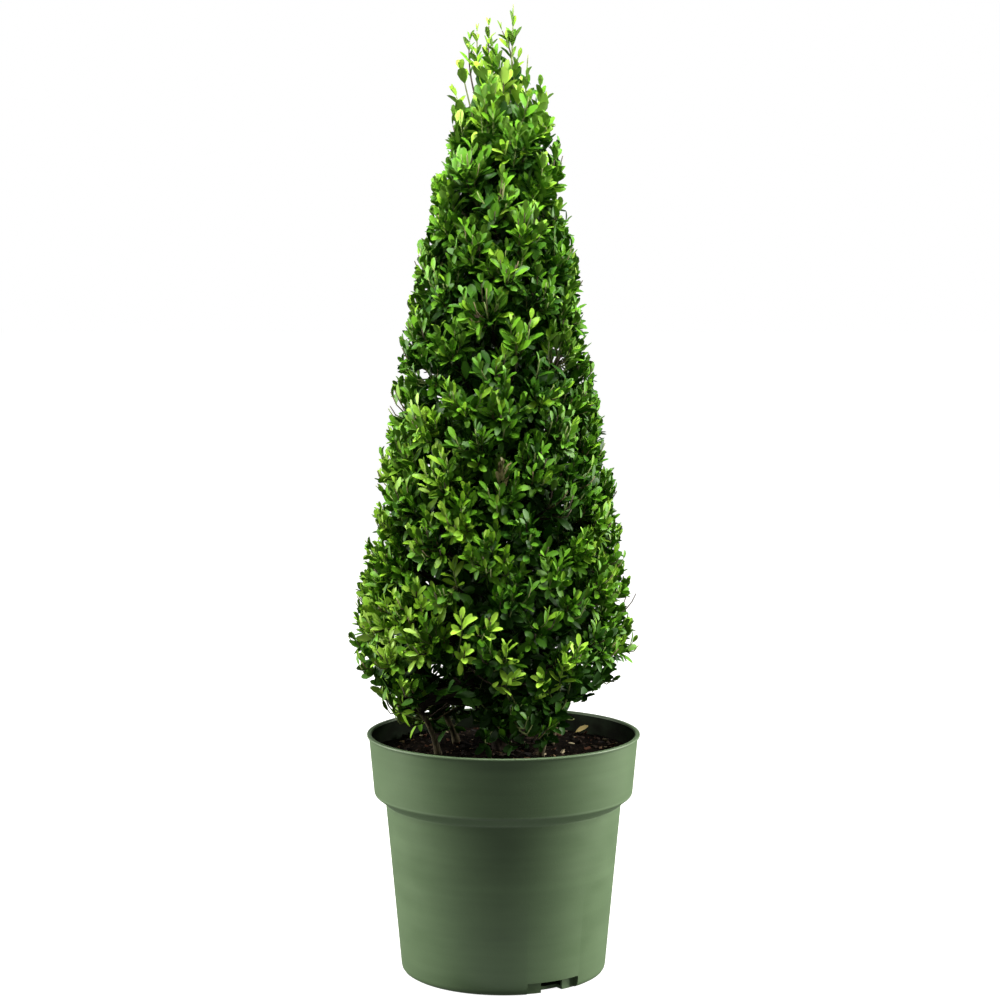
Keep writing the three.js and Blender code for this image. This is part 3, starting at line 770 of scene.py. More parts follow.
def pot_material():
    """Matte green plastic, with painted bounce light and a painted highlight as paler bands at the bevel's
    foot and just over the collar's foot, and painted shade darkening the top of the lip.
    """
    material, shader, tree = new_material("pot_green_plastic", (0.1, 0.19, 0.1), 0.5, 0.35)
    mottle = object_noise(tree, 26, (1, 1, 2.2))
    body = ramp(tree, mottle, [(0.3, (0.08, 0.131, 0.061)), (0.7, (0.09, 0.146, 0.069))])
    rings = object_noise(tree, 160, (0.02, 0.02, 1), 2.0)
    marks = ramp(tree, rings, [(0.42, grey(0.94)), (0.62, WHITE)])
    body = mix_colours(tree, 0.8, body, marks, "MULTIPLY")
    # Paler bands at the bevel's foot and just over the collar's foot: painted bounce light on the bevel and a
    # painted highlight line
    painted_edge_light = [(BEVEL_FOOT - 1.5, 0), (BEVEL_FOOT, 0.26), (BEVEL_FOOT + 3, 0.12)]
    painted_edge_light += [(COLLAR_FOOT, 0.04), (COLLAR_FOOT + 1, 0.3), (COLLAR_FOOT + 2.2, 0)]
    body = mix_colours(tree, height_share(tree, painted_edge_light), body, (0.2, 0.28, 0.175))
    # A darker top of the lip: painted shade
    painted_lip_shade = [(POT_HEIGHT - 1.1, 0), (POT_HEIGHT - 0.3, 0.6), (POT_HEIGHT, 0.6)]
    body = mix_colours(tree, height_share(tree, painted_lip_shade), body, (0.03, 0.05, 0.024))
    plug(tree, shader.inputs["Base Color"], body)
    plug(tree, shader.inputs["Roughness"], ramp(tree, mottle, [(0.3, grey(0.42)), (0.7, grey(0.56))]))
    add_bump(tree, shader, object_noise(tree, 900, detail=3.0), 0.12, 0.3)
    return material


def shaded_inside_material():
    """The inside of the pot, darkened as painted shade and by peat that clings to it."""
    material, shader, tree = new_material("pot_inside", (0.012, 0.018, 0.01), 0.8, 0.05)
    inside_mottle = object_noise(tree, 60, (1, 1, 1.5), 6.0)
    stops = [(0.35, (0.005, 0.006, 0.0034)), (0.65, (0.013, 0.021, 0.011))]
    plug(tree, shader.inputs["Base Color"], ramp(tree, inside_mottle, stops))
    return material


def soil_material():
    """Moist dark mix of peat and bark fines."""
    material, shader, tree = new_material("dark_potting_soil", (0.02, 0.014, 0.01), 0.95, 0.03)
    grain = object_noise(tree, 420, detail=8.0)
    dark, middle, light = (0.0012, 0.0009, 0.0007), (0.005, 0.0034, 0.0024), (0.013, 0.0085, 0.005)
    plug(tree, shader.inputs["Base Color"], ramp(tree, grain, [(0.3, dark), (0.52, middle), (0.68, light)]))
    add_bump(tree, shader, grain, 0.9, 1.5)
    return material


def bark_material(name, dark, pale):
    """Thin bark with fine cracks along the limb."""
    material, shader, tree = new_material(name, dark, 0.9, 0.25)
    grain = object_noise(tree, 520, (1, 1, 0.22), 6.0)
    patches = object_noise(tree, 70, (1, 1, 0.5), 3.0)
    cracks = ramp(tree, grain, [(0.36, dark), (0.64, pale)])
    shade = ramp(tree, patches, [(0.35, grey(0.6)), (0.65, WHITE)])
    plug(tree, shader.inputs["Base Color"], mix_colours(tree, 0.8, cracks, shade, "MULTIPLY"))
    add_bump(tree, shader, grain, 0.7, 0.8)
    return material


# Pot and soil

def body_radius(height):
    """The outer radius of the pot's body at a height."""
    return lerp(BASE_RADIUS, BODY_TOP_RADIUS, height / BEVEL_FOOT)


def collar_radius(height):
    """The outer radius of the pot's collar at a height."""
    share = (height - COLLAR_FOOT) / (COLLAR_TOP - COLLAR_FOOT)
    return lerp(COLLAR_FOOT_RADIUS, COLLAR_TOP_RADIUS, share)


def arc_block(inner, outer, low, high, facing, arc, steps=12):
    """A block of a ring between two radii and two heights, over an arc about a direction."""
    angles = np.radians(facing + np.linspace(-arc / 2, arc / 2, steps))
    outline = [(inner * math.cos(a), inner * math.sin(a)) for a in angles]
    outline += [(outer * math.cos(a), outer * math.sin(a)) for a in angles[::-1]]
    count = len(outline)
    points = [(x, y, z) for z in (low, high) for x, y in outline]
    walls = [(i, i + count, (i + 1) % count + count, (i + 1) % count) for i in range(count)]
    caps = [list(range(count)), list(range(2 * count - 1, count - 1, -1))]
    mesh = bpy.data.meshes.new("cutter")
    mesh.from_pydata([Vector(p) * MM for p in points], [], walls + caps)
    return add_object("cutter", mesh)


def apply_cuts(piece, cuts):
    """Joins or cuts a piece with blocks, which are then removed."""
    for cutter, operation in cuts:
        modifier = piece.modifiers.new(operation, "BOOLEAN")
        modifier.object = cutter
        modifier.operation = operation
        modifier.solver = "EXACT"
    bpy.context.view_layer.update()
    evaluated = piece.evaluated_get(bpy.context.evaluated_depsgraph_get())
    mesh = bpy.data.meshes.new_from_object(evaluated)
    piece.modifiers.clear()
    piece.data = mesh
    for cutter, _ in cuts:
        bpy.data.objects.remove(cutter)


def drain_cuts(facing):
    """What makes a drain: a pad inside the wall, a recess in front of it and a slot through both."""
    recess_wall = BASE_RADIUS - DRAIN_DEPTH
    pad_radii = (recess_wall - POT_WALL, BASE_RADIUS - DRAIN_PAD_INSET)
    pad_heights = (POT_FLOOR - DRAIN_PAD_SINK, DRAIN_HEIGHT + POT_WALL)
    pad = arc_block(*pad_radii, *pad_heights, facing, DRAIN_PAD_ARC)
    recess = arc_block(recess_wall, RIM_RADIUS, DRAIN_CUT_FOOT, DRAIN_HEIGHT, facing, DRAIN_ARC)
    slot_radii = (recess_wall - SLOT_REACH, BASE_RADIUS)
    slot = arc_block(*slot_radii, SLOT_CUT_FOOT, SLOT_HEIGHT, facing, SLOT_ARC)
    return [(pad, "UNION"), (recess, "DIFFERENCE"), (slot, "DIFFERENCE")]


def make_pot():
    """The pot: small lip, tapered collar, bevel, tapered body and recessed drain slots at its foot."""
    lip_inner = COLLAR_TOP_RADIUS - POT_WALL
    # Radius, height and rounding of each corner, up the outside and down the inside
    corners = [
        (0, 0, 0),
        (BASE_RADIUS, 0, BASE_CORNER),
        (BODY_TOP_RADIUS, BEVEL_FOOT, 0.8),
        (COLLAR_FOOT_RADIUS, COLLAR_FOOT, 1.4),
        (COLLAR_TOP_RADIUS, COLLAR_TOP, 0.3),
        (RIM_RADIUS, COLLAR_TOP, 0.5),
        (RIM_RADIUS, POT_HEIGHT, 0.7),
        (lip_inner, POT_HEIGHT, 0.7),
        (lip_inner - LIP_DRAFT, COLLAR_TOP, 0.3),
        (COLLAR_FOOT_RADIUS - POT_WALL, COLLAR_FOOT + POT_WALL / 2, 1),
        (BODY_TOP_RADIUS - POT_WALL, BEVEL_FOOT + POT_WALL / 2, 1),
        (BASE_RADIUS - POT_WALL, POT_FLOOR, 2),
        (0, POT_FLOOR, 0),
    ]
    profile = round_corners(corners)
    points, walls, caps = turned_solid(profile, POT_SEGMENTS)
    # The inside walls take the dark inside material, which paints the shade in the pot
    first_inside = np.argmax([height for _, height in profile]) + LIP_RINGS
    inside = np.arange(len(walls)) // POT_SEGMENTS >= first_inside
    batch = Batch()
    batch.add(points, (walls, inside.astype(int)), (caps, 0))
    pot = make_piece("green_pot", batch, [pot_material(), shaded_inside_material()], ["pot"])
    cuts = []
    for i in range(DRAIN_COUNT):
        cuts += drain_cuts(DRAIN_TURN + i * 360 / DRAIN_COUNT)
    apply_cuts(pot, cuts)
    pot.data.shade_smooth()
    pot.data.set_sharp_from_angle(angle=math.radians(POT_SHARP_ANGLE))


def soil_height(x, y):
    """The height of the crumbly soil at a place."""
    edge = collar_radius(SOIL_EDGE) - POT_WALL
    fall = max(math.hypot(x, y) - SOIL_FLAT_RADIUS, 0) / (edge - SOIL_FLAT_RADIUS)
    place = Vector((x, y, SOIL_CRUMBS_LEVEL))
    crumbs = noise.fractal(place / SOIL_GRAIN, *SOIL_CRUMBS) * SOIL_RELIEF
    return GROUND - SOIL_DOME * fall + crumbs - SOIL_SINK


def make_soil():
    """The filling, with a crumbly top."""
    inside = POT_WALL + SOIL_GAP
    edge_radius = collar_radius(SOIL_EDGE) - inside
    profile = [
        (0, POT_FLOOR + SOIL_GAP),
        (SOIL_FOOT_RADIUS, POT_FLOOR + SOIL_GAP),
        (body_radius(SOIL_SHOULDER) - inside, SOIL_SHOULDER),
        (BODY_TOP_RADIUS - inside, BEVEL_FOOT + POT_WALL),
        (COLLAR_FOOT_RADIUS - inside, COLLAR_FOOT + POT_WALL),
    ]
    below = len(profile) - 1
    profile += [(edge_radius * (1 - i / SOIL_RINGS), SOIL_EDGE) for i in range(SOIL_RINGS)]
    profile.append((0, GROUND))
    points, walls, caps = turned_solid(profile, SOIL_SEGMENTS)
    for point in points[below * SOIL_SEGMENTS:-2]:
        point[2] = soil_height(point[0], point[1])
    points[-1, 2] = soil_height(0, 0)
    batch = Batch()
    batch.add(points, (walls, 0), (caps, 0))
    make_piece("soil_filling", batch, [soil_material()], ["soil"])


def make_chips():
    """Shreds of bark and pale crumbs that lie on the soil."""
    random = np.random.RandomState(CHIP_SEED)
    reach = collar_radius(SOIL_EDGE) - POT_WALL - CHIP_EDGE_ROOM
    batch = Batch()
    for _ in range(CHIPS):
        radius = reach * math.sqrt(random.rand())
        angle = random.rand() * 2 * math.pi
        x, y = radius * math.cos(angle), radius * math.sin(angle)
        length = lerp(*CHIP_SIZES, random.rand() ** 3)
        width = length * random.uniform(*CHIP_WIDTHS)
        size = np.array([length, width, length * random.uniform(*CHIP_HEIGHTS)]) / 2
        corners = CHIP_CORNERS * size * random.uniform(*CHIP_WEAR, CHIP_CORNERS.shape)
        axes = np.linalg.qr(np.eye(3) + random.normal(0, CHIP_TILT, (3, 3)))[0]
        points = turned_about(corners @ axes.T, random.rand() * 2 * math.pi)
        tint = random.choice(len(CHIP_SHARES), p=CHIP_SHARES)
        batch.add(points + (x, y, soil_height(x, y) + size[2] * CHIP_RAISE), (CHIP_SIDES, tint))
    materials = plain_materials("chip", CHIP_COLOURS, 0.9, 0.2)
    make_piece("soil_chips", batch, materials, sharp_angle=CHIP_SHARP_ANGLE)


# The source's rule: outline of the crown, sprays and masses

def crown_radius(height):
    """The radius of the crown's outline at a height."""
    if height < CROWN_WIDEST:
        drop = clamp((CROWN_WIDEST - height) / (CROWN_WIDEST - CROWN_FOOT))
        return lerp(CROWN_FOOT_RADIUS, CROWN_RADIUS, 1 - drop * drop)
    if height > CROWN_SHOULDER:
        rise = clamp((height - CROWN_SHOULDER) / (CROWN_TOP - CROWN_SHOULDER))
        return CROWN_SHOULDER_RADIUS * math.sqrt(1 - rise * rise)
    up = (height - CROWN_WIDEST) / (CROWN_SHOULDER - CROWN_WIDEST)
    return lerp(CROWN_RADIUS, CROWN_SHOULDER_RADIUS, up) + CROWN_BELLY * math.sin(math.pi * up)


def crown_middle(height):
    """The middle of the crown at a height: it stands to the left of the pot and comes back at the top."""
    up = clamp((height - CROWN_FOOT) / (CROWN_TOP - CROWN_FOOT))
    return np.array([CROWN_LEAN * (up**CROWN_LEAN_CURVE - 1), 0, height])


def from_middle(point):
    """How far a point is from the crown's middle at its height."""
    return np.linalg.norm(point - crown_middle(point[2]))


def on_outline(angle, height):
    """The point of the crown's outline at an angle and a height."""
    return crown_middle(height) + outward(angle, 0) * crown_radius(height)


def even_heights(count):
    """Heights that share the crown's outer surface evenly, from the skirt to the top."""
    heights = np.linspace(CROWN_FOOT, CROWN_TOP, CROWN_SLICES + 1)
    radii = np.array([crown_radius(height) for height in heights])
    middles = np.array([crown_radius(height) for height in (heights[1:] + heights[:-1]) / 2])
    areas = np.concatenate([[0], np.cumsum(middles * np.hypot(np.diff(heights), np.diff(radii)))])
    wanted = (np.arange(count) + 0.5) / count * areas[-1]
    return np.interp(wanted, areas, heights)


def spray_rise(height):
    """How steeply a spray rises at a height, in degrees."""
    if height > CROWN_SHOULDER:
        share = (height - CROWN_SHOULDER) / (CROWN_TOP - CROWN_SHOULDER)
        return lerp(SPRAY_RISE_SHOULDER, SPRAY_RISE_TOP, share)
    up = max((height - CROWN_FOOT) / (CROWN_SHOULDER - CROWN_FOOT), 0)
    return lerp(SPRAY_RISE_FOOT, SPRAY_RISE_SHOULDER, up**SPRAY_RISE_CURVE)


def random_from(seed):
    """The source's seeded random numbers from 0 to 1."""
    mask = 0xFFFFFFFF
    state = seed & mask
    while True:
        state = (state + 0x6D2B79F5) & mask
        t = ((state ^ (state >> 15)) * (1 | state)) & mask
        t = ((t + ((t ^ (t >> 7)) * (61 | t))) & mask) ^ t
        yield ((t ^ (t >> 14)) & mask) / (mask + 1)


def core_radius(height):
    """The radius of the dense core inside the crown at a height."""
    return max(crown_radius(height - CORE_RAISE) - CORE_DEPTH, CORE_LEAST_RADIUS)


def twig_length(end, direction):
    """How long a spray's twig is that ends at a point and has its foot well inside the crown."""
    length = TWIG_LENGTH
    depth = 0
    while depth < TWIG_SUNK and length < TWIG_LONGEST:
        length += TWIG_STEP
        root = end - direction * length
        inside = min(root[2] - CORE_FOOT, core_radius(root[2]) + CORE_SKIN - from_middle(root))
        depth = inside if root[2] < CORE_TOP else 0
    return length


def make_sprays():
    """The sprays of the source: their tips on the outline, their directions and the feet of their twigs."""
    tips, directions, roots = [], [], []
    for i, height in enumerate(even_heights(SPRAYS)):
        draws = random_from(SPRAY_SEED + i)
        angle = i * GOLDEN_ANGLE + (next(draws) - 0.5) * SPRAY_JITTER
        swing = (next(draws) - 0.5) * SPRAY_SWING
        rise = spray_rise(height) + (next(draws) - 0.5) * 2 * SPRAY_JITTER
        direction = outward(angle + swing, rise)
        tip = on_outline(angle, height)
        size = clamp(crown_radius(height) / SPRAY_FULL_RADIUS, SPRAY_LEAST_SIZE)
        end = tip - direction * (size * SPRAY_LEAF_LENGTH - SPRAY_LEAF_LAP)
        tips.append(tip)
        directions.append(direction)
        roots.append(end - direction * twig_length(end, direction))
    return np.array(tips), np.array(directions), np.array(roots)


def mass_of(point):
    """The name of the mass of foliage in whose space a point lies."""
    level = point[2] - TIER_SLOPE * math.hypot(point[0], point[1])
    name, masses, turn, low, high = next(tier for tier in TIERS if level < tier[4])
    if masses == 1:
        return name
    hub = trunk_point(trunk_share((low + high) / 2))
    angle = math.degrees(math.atan2(point[1] - hub[1], point[0] - hub[0]))
    sector = round((angle - turn) / (360 / masses)) % masses
    return f"{name}_{sector + 1}"


# Trunk, stems and boughs

def trunk_share(height):
    """The share of the trunk's height at a height over the ground."""
    return clamp((height - STEM_FOOT) / (TRUNK_TIP - STEM_FOOT))


def trunk_point(share):
    """The trunk's centre line at a share of its height."""
    lean = -TRUNK_LEAN * math.sin(math.pi * math.sqrt(share))
    weave = TRUNK_BEND * math.sin(2 * math.pi * share)
    return np.array([lean, weave, lerp(STEM_FOOT, TRUNK_TIP, share)])


def trunk_radius(share):
    """The trunk's radius at a share of its height, with the flare at its foot."""
    above = share * (TRUNK_TIP - STEM_FOOT)
    flare = 1 + TRUNK_FLARE * math.exp(-above / TRUNK_FLARE_HEIGHT)
    return lerp(TRUNK_FOOT_RADIUS, TRUNK_TIP_RADIUS, share**TRUNK_TAPER) * flare


def side_stem_path(angle, stance, reach):
    """A side stem's centre line, from the soil up and outwards to where it enters its mass."""
    foot = around_axis(stance, angle, STEM_FOOT)
    tip = around_axis(reach, angle + SIDE_STEM_TWIST, SIDE_STEM_TIP)
    knee = lerp(foot, tip, SIDE_STEM_KNEE) - outward(angle, 0) * SIDE_STEM_BOW
    first, last = SIDE_STEM_PULLS
    return bezier(foot, lerp(foot, knee, first), lerp(knee, tip, last), tip, LIMB_STEPS)


def bark_rings(radii, sides, seed):
    """Radii for a limb's rings, with the ridges and knots of its bark."""
    rings = []
    for i, radius in enumerate(radii):
        ring = []
        for turn in 2 * math.pi * np.arange(sides) / sides:
            relief = 1
            for (width, step), start in ((BARK_RIDGES, seed), (BARK_KNOTS, seed + BARK_KNOT_SEED)):
                place = Vector((math.cos(turn) * width, math.sin(turn) * width, i * step + start))
                relief += BARK_RELIEF * noise.noise(place)
            ring.append(radius * relief)
        rings.append(ring)
    return np.array(rings)


def make_limb(name, path, radii, material, node):
    """One limb of the solids as a tube with bark."""
    batch = Batch()
    batch.add_tube(path, radii, radii.shape[1])
    make_piece(name, batch, [material], [node])


def make_trunk_and_stems():
    """The trunk and the side stems, each as one limb with the relief of its bark."""
    bark = bark_material("grey_brown_bark", (0.014, 0.01, 0.007), (0.07, 0.054, 0.037))
    stem_bark = bark_material("tan_bark", (0.03, 0.024, 0.013), (0.13, 0.11, 0.055))
    shares = np.linspace(0, 1, TRUNK_RINGS)
    path = np.array([trunk_point(share) for share in shares])
    radii = bark_rings([trunk_radius(share) for share in shares], TRUNK_SIDES, TRUNK_BARK_SEED)
    make_limb("trunk_bark", path, radii, bark, "trunk")
    along = np.linspace(0, 1, LIMB_STEPS)
    flare = 1 + SIDE_STEM_FLARE * np.exp(-along * SIDE_STEM_FLARE_FADE)
    taper = lerp(SIDE_STEM_FOOT_RADIUS, SIDE_STEM_TIP_RADIUS, along) * flare
    for i, stem in enumerate(SIDE_STEMS):
        node = f"side_stem_{i + 1}"
        radii = bark_rings(taper, SIDE_STEM_SIDES, SIDE_STEM_BARK_SEED + i)
        make_limb(f"{node}_bark", side_stem_path(*stem), radii, stem_bark, node)


def low_limbs():
    """The centre lines of the limbs that show under the crown: side stems, then low boughs."""
    boughs = [bezier(*turned_about(LOW_BOUGH, math.radians(turn)), LIMB_STEPS) for turn in LOW_BOUGH_TURNS]
    return [side_stem_path(*stem) for stem in SIDE_STEMS] + boughs


def bough_start(root):
    """Where the bough to a spray's foot leaves the trunk or a side stem, and the way it sets off."""
    if root[2] < SIDE_STEM_REACH:
        tips = [side_stem_path(*stem)[-2:] for stem in SIDE_STEMS]
        before, tip = min(tips, key=lambda ends: np.linalg.norm(ends[1] - root))
        return tip - unit(tip - before) * BOUGH_SUNK, unit(tip - before)
    away = math.hypot(root[0] - trunk_point(0.5)[0], root[1])
    height = max(root[2] - BOUGH_RISE * away, STEM_FOOT + LOWEST_BOUGH)
    start = trunk_point(trunk_share(height))
    return start, unit(level_way(root - start) + UP * BOUGH_SET_OFF)


def make_boughs(sprays):
    """The boughs, one to each spray, which grow on from the trunk and the side stems, and the low boughs."""
    _, directions, roots = sprays
    random = np.random.RandomState(BOUGH_SEED)
    batch = Batch()
    for direction, root in zip(directions, roots):
        start, way = bough_start(root)
        span = np.linalg.norm(root - start)
        first, last = BOUGH_PULLS
        tip = root + direction * TWIG_LENGTH
        path = bezier(start, start + way * span * first, root - direction * span * last, tip, BOUGH_STEPS)
        path[1:-1] += random.normal(0, BOUGH_WANDER, (BOUGH_STEPS - 2, 3))
        radii = np.linspace(*BOUGH_RADII, BOUGH_STEPS)
        batch.add_tube(path, radii, BOUGH_SIDES, random.randint(len(BOUGH_COLOURS)))
    for i, path in enumerate(low_limbs()[len(SIDE_STEMS):]):
        taper = np.linspace(*LOW_BOUGH_RADII, LIMB_STEPS)
        radii = bark_rings(taper, LOW_BOUGH_SIDES, LOW_BOUGH_BARK_SEED + i)
        batch.add_tube(path, radii, LOW_BOUGH_SIDES)
    make_piece("boughs", batch, plain_materials("bough", BOUGH_COLOURS, 0.9, 0.2))


# Leaves

class Leaves:
    """Leaves gathered one by one, then made all at once."""

    def __init__(self):
        self.rows = []
        self.tints = []

    def add(self, root, along, facing, length, width, curl, cup, tint):
        """Adds a leaf at a root, along one direction and facing another."""
        self.rows.append((*root, *along, *facing, length, width, curl, cup))
        self.tints.append(tint)

    def mesh(self):
        """Points, faces with their materials, and which points lie on a rim."""
        rows = np.array(self.rows)
        along = unit(rows[:, 3:6])
        side = unit(np.cross(rows[:, 6:9], along))
        normal = np.cross(along, side)
        length, width, curl, cup = (rows[:, k, None] for k in range(9, 13))
        curl = np.where(np.abs(curl) < LEAF_LEAST_CURL, LEAF_LEAST_CURL, curl)
        stations = np.array([0, *(station for station, _ in LEAF_STATIONS), 1.0])
        halves = np.array([share for _, share in LEAF_STATIONS]) * width / 2
        bend = curl * stations
        forward = (length * np.sin(bend) / curl)[:, :, None] * along[:, None]
        drop = (-length * (1 - np.cos(bend)) / curl)[:, :, None] * normal[:, None]
        middle = rows[:, None, :3] + forward + drop
        over = np.cos(bend)[:, :, None] * normal[:, None] + np.sin(bend)[:, :, None] * along[:, None]
        inner = middle[:, 1:-1]
        over = over[:, 1:-1]
        spread = halves[:, :, None] * side[:, None]
        lift = (halves * cup)[:, :, None] * over
        left, right = inner + spread + lift, inner - spread + lift
        under = inner - over * LEAF_THICKNESS
        points = np.concatenate([middle[:, :1], middle[:, -1:], left, inner, right, under], axis=1)
        steps = np.arange(len(rows))[:, None, None] * points.shape[1]
        tints = np.array(self.tints)
        beneath = np.where(tints <= DARK, DARK, np.where(tints < YOUNG, UNDERSIDE, tints))
        faces = []
        for corners, tint in zip(leaf_faces(), (tints, tints, beneath, beneath)):
            faces.append(((corners + steps).reshape(-1, corners.shape[1]), np.repeat(tint, len(corners))))
        stops = len(LEAF_STATIONS)
        rim = np.repeat([True, True, False, True, False], [2, stops, stops, stops, stops])
        return points.reshape(-1, 3), faces, np.tile(rim, len(rows))


def leaf_faces():
    """Corners of a leaf's faces: quads and triangles of its upper side, then of its underside."""
    stops = len(LEAF_STATIONS)
    base, tip = 0, 1
    left, mid, right, under = (2 + k * stops + np.arange(stops) for k in range(4))
    quads, lower_quads = [], []
    for here, after in zip(range(stops - 1), range(1, stops)):
        for a, b in ((right, mid), (mid, left)):
            quads.append((a[here], a[after], b[after], b[here]))
        for a, b in ((right, under), (under, left)):
            lower_quads.append((a[here], b[here], b[after], a[after]))
    triangles = [(base, right[0], mid[0]), (base, mid[0], left[0])]
    triangles += [(right[-1], tip, mid[-1]), (mid[-1], tip, left[-1])]
    lower_triangles = [(base, under[0], right[0]), (base, left[0], under[0])]
    lower_triangles += [(right[-1], under[-1], tip), (under[-1], left[-1], tip)]
    return [np.array(corners) for corners in (quads, triangles, lower_quads, lower_triangles)]


def leaf_room(root, tip):
    """Whether a leaf stays clear of the soil and of the pot's rim."""
    for point in (root, tip):
        over_rim = math.hypot(point[0], point[1]) > RIM_RADIUS - RIM_ROOM
        if point[2] < (POT_HEIGHT if over_rim else GROUND) + LEAF_CLEARANCE:
            return False
    return True


def clipped_off(point, inset=0):
    """Whether a point is outside the crown that the shears have left."""
    aside = point[0] - OPEN_SIDE[0]
    lowest = OPEN_SIDE[1] + aside * OPEN_SIDE_RISE[0] + max(-point[1], 0) * OPEN_SIDE_RISE[1]
    if aside > 0 and point[2] < lowest:
        return True
    if OPEN_FRONT[0] < point[0] < OPEN_FRONT[1] and point[1] < 0 and point[2] < OPEN_FRONT[2]:
        return True
    overhang = LEAF_OVERHANG if point[0] > 0 else np.interp(point[2], *zip(*LEFT_OVERHANG))
    return from_middle(point) > crown_radius(point[2]) + overhang - inset


def in_hollow(angle, height):
    """Whether a place on the crown's outline is in one of the hollows."""
    for turn in SKIRT_TURNS:
        for middle, level, radius in HOLLOWS:
            off = (angle - middle - turn + 180) % 360 - 180
            if math.hypot(math.radians(off) * crown_radius(height), height - level) < radius:
                return True
    return False


def over_hollow(point):
    """Whether a point hangs over the floor of one of the hollows."""
    aside = point - crown_middle(point[2])
    depth = crown_radius(point[2]) - np.linalg.norm(aside)
    return depth < HOLLOW_CLEAR and in_hollow(math.degrees(math.atan2(aside[1], aside[0])), point[2])


def in_sky_gap(point):
    """Whether a point is in a gap that shows the sky from the front."""
    return any(math.hypot(point[0] - x, point[2] - z) < radius for x, z, radius in SKY_GAPS)


def grow_leaves(leaves, path, light, tone, random, size, nodes, tint, spreading, clipped):
    """Opposite pairs of leaves down a shoot from its tip, each pair square to the next."""
    lengths = np.concatenate([[0], np.cumsum(np.linalg.norm(np.diff(path, axis=0), axis=1))])
    tangents = unit(np.gradient(path, axis=0))
    first = random.rand() * math.pi if clipped else math.pi / 4
    for node, distance in enumerate(nodes):
        back = distance * random.uniform(*LEAF_NODE_SLIP)
        if back > lengths[-1]:
            break
        at = lengths[-1] - back
        root = np.array([np.interp(at, lengths, path[:, k]) for k in range(3)])
        tangent = unit(np.array([np.interp(at, lengths, tangents[:, k]) for k in range(3)]))
        side = across(tangent)
        other = np.cross(tangent, side)
        turn = first + node * math.pi / 2 + random.normal(0, LEAF_NODE_TURN)
        for half in (0, math.pi):
            swing = turn + half + random.normal(0, LEAF_SWING)
            away = math.cos(swing) * side + math.sin(swing) * other
            spread = LEAF_NODE_SPREADS[node] * spreading + random.normal(0, LEAF_SPREAD_SCATTER)
            spread = math.radians(spread)
            along = math.cos(spread) * tangent + math.sin(spread) * away
            facing = math.sin(spread) * tangent - math.cos(spread) * away
            facing = facing + LEAF_TURN_TO_LIGHT * light + random.normal(0, LEAF_FACING_SCATTER, 3)
            length = LEAF_LENGTH * LEAF_NODE_SIZES[node] * size * random.uniform(*LEAF_SIZES)
            rounder = max(size, 1) ** LEAF_TOP_ROUNDING
            width = LEAF_WIDTH / LEAF_LENGTH * length * rounder * random.uniform(*LEAF_WIDTHS)
            curl = random.uniform(*LEAF_CURLS)
            cup = random.uniform(*LEAF_CUPS)
            dealt = tone - LEAF_NODE_FADE * node + random.normal(0, LEAF_TONE_SCATTER)
            shade = int(round(clamp(dealt, DEEP, PALE))) if tint is None else tint
            tip = root + along * length
            if not leaf_room(root, tip) or in_sky_gap(root + along * length / 2):
                continue
            if clipped and clipped_off(tip):
                continue
            if tint is None and clipped and over_hollow(root + along * length * LEAF_BLADE_MIDDLE):
                continue
            leaves.add(root, along, facing, length, width, curl, cup, shade)


class Foliage:
    """The twigs and leaves of each mass, kept apart by mass."""

    def __init__(self):
        names = [f"{tier[0]}_{i + 1}" if tier[1] > 1 else tier[0] for tier in TIERS for i in range(tier[1])]
        self.leaves = {name: Leaves() for name in names}
        self.twigs = {name: Batch() for name in names}

    def add_shoot(self, path, out, tone, random, size, nodes, tint=None, spreading=1.0, clipped=True):
        """A twig along a path, with its leaves."""
        mass = mass_of(path[-1])
        bark = random.choice(len(TWIG_SHARES), p=TWIG_SHARES)
        self.twigs[mass].add_tube(path, np.linspace(*SHOOT_RADII, len(path)), TWIG_SIDES, bark)
        light = out * LEAF_LIGHT[0] + UP * LEAF_LIGHT[1]
        grow_leaves(self.leaves[mass], path, light, tone, random, size, nodes, tint, spreading, clipped)

    def make(self):
        """Two pieces for each mass, its leaves and its twigs."""
        leaf_materials = plain_materials("leaf", LEAF_COLOURS, 0.45, 0.15)
        twig_materials = plain_materials("twig", TWIG_COLOURS, 0.75, 0.3)
        for name, leaves in self.leaves.items():
            points, faces, rim = leaves.mesh()
            batch = Batch()
            batch.add(points, *faces)
            piece = make_piece(f"{name}_leaves", batch, leaf_materials, [name])
            mark_sharp_rims(piece, rim)
        for name, twigs in self.twigs.items():
            make_piece(f"{name}_twigs", twigs, twig_materials)


def spray_tones(tips, random):
    """How light the leaves of each spray are: the top is lighter, partly for young growth and partly as
    painted light, the lower left side is lighter, and at the top the front and back are lighter than the
    sides, as painted light.
    """
    tones = np.interp(tips[:, 2], *zip(*SPRAY_TONES))
    tones += np.where(tips[:, 0] < LEFT_SIDE, np.interp(tips[:, 2], *zip(*LEFT_TONES)), 0)
    aside = np.abs(tips[:, 0]) / np.linalg.norm(tips[:, :2], axis=1)
    # Painted light: at the top, the front and back are lighter and the sides darker
    tones += np.where(tips[:, 2] > FRONT_PAINTED_LIGHT_FOOT, FRONT_PAINTED_LIGHT * (FRONT_PAINTED_LIGHT_MIDDLE - aside), 0)
    return tones + random.normal(0, SPRAY_TONE_SCATTER, SPRAYS)


def kept_share(surface, thin, hollow):
    """The share of the shoots that stand at a place on the outline."""
    height = surface[2]
    share = THIN_SHARE if thin else 1
    if hollow:
        share *= HOLLOW_SHARE
    if height > LOOSE_TOP:
        share *= TOP_SHARE * (CROWN_TOP - height) / (CROWN_TOP - LOOSE_TOP)
    if height < SKIRT_OPEN:
        share *= SKIRT_LEFT_SHARE if surface[0] < SKIRT_LEFT else SKIRT_SHARE
    return share


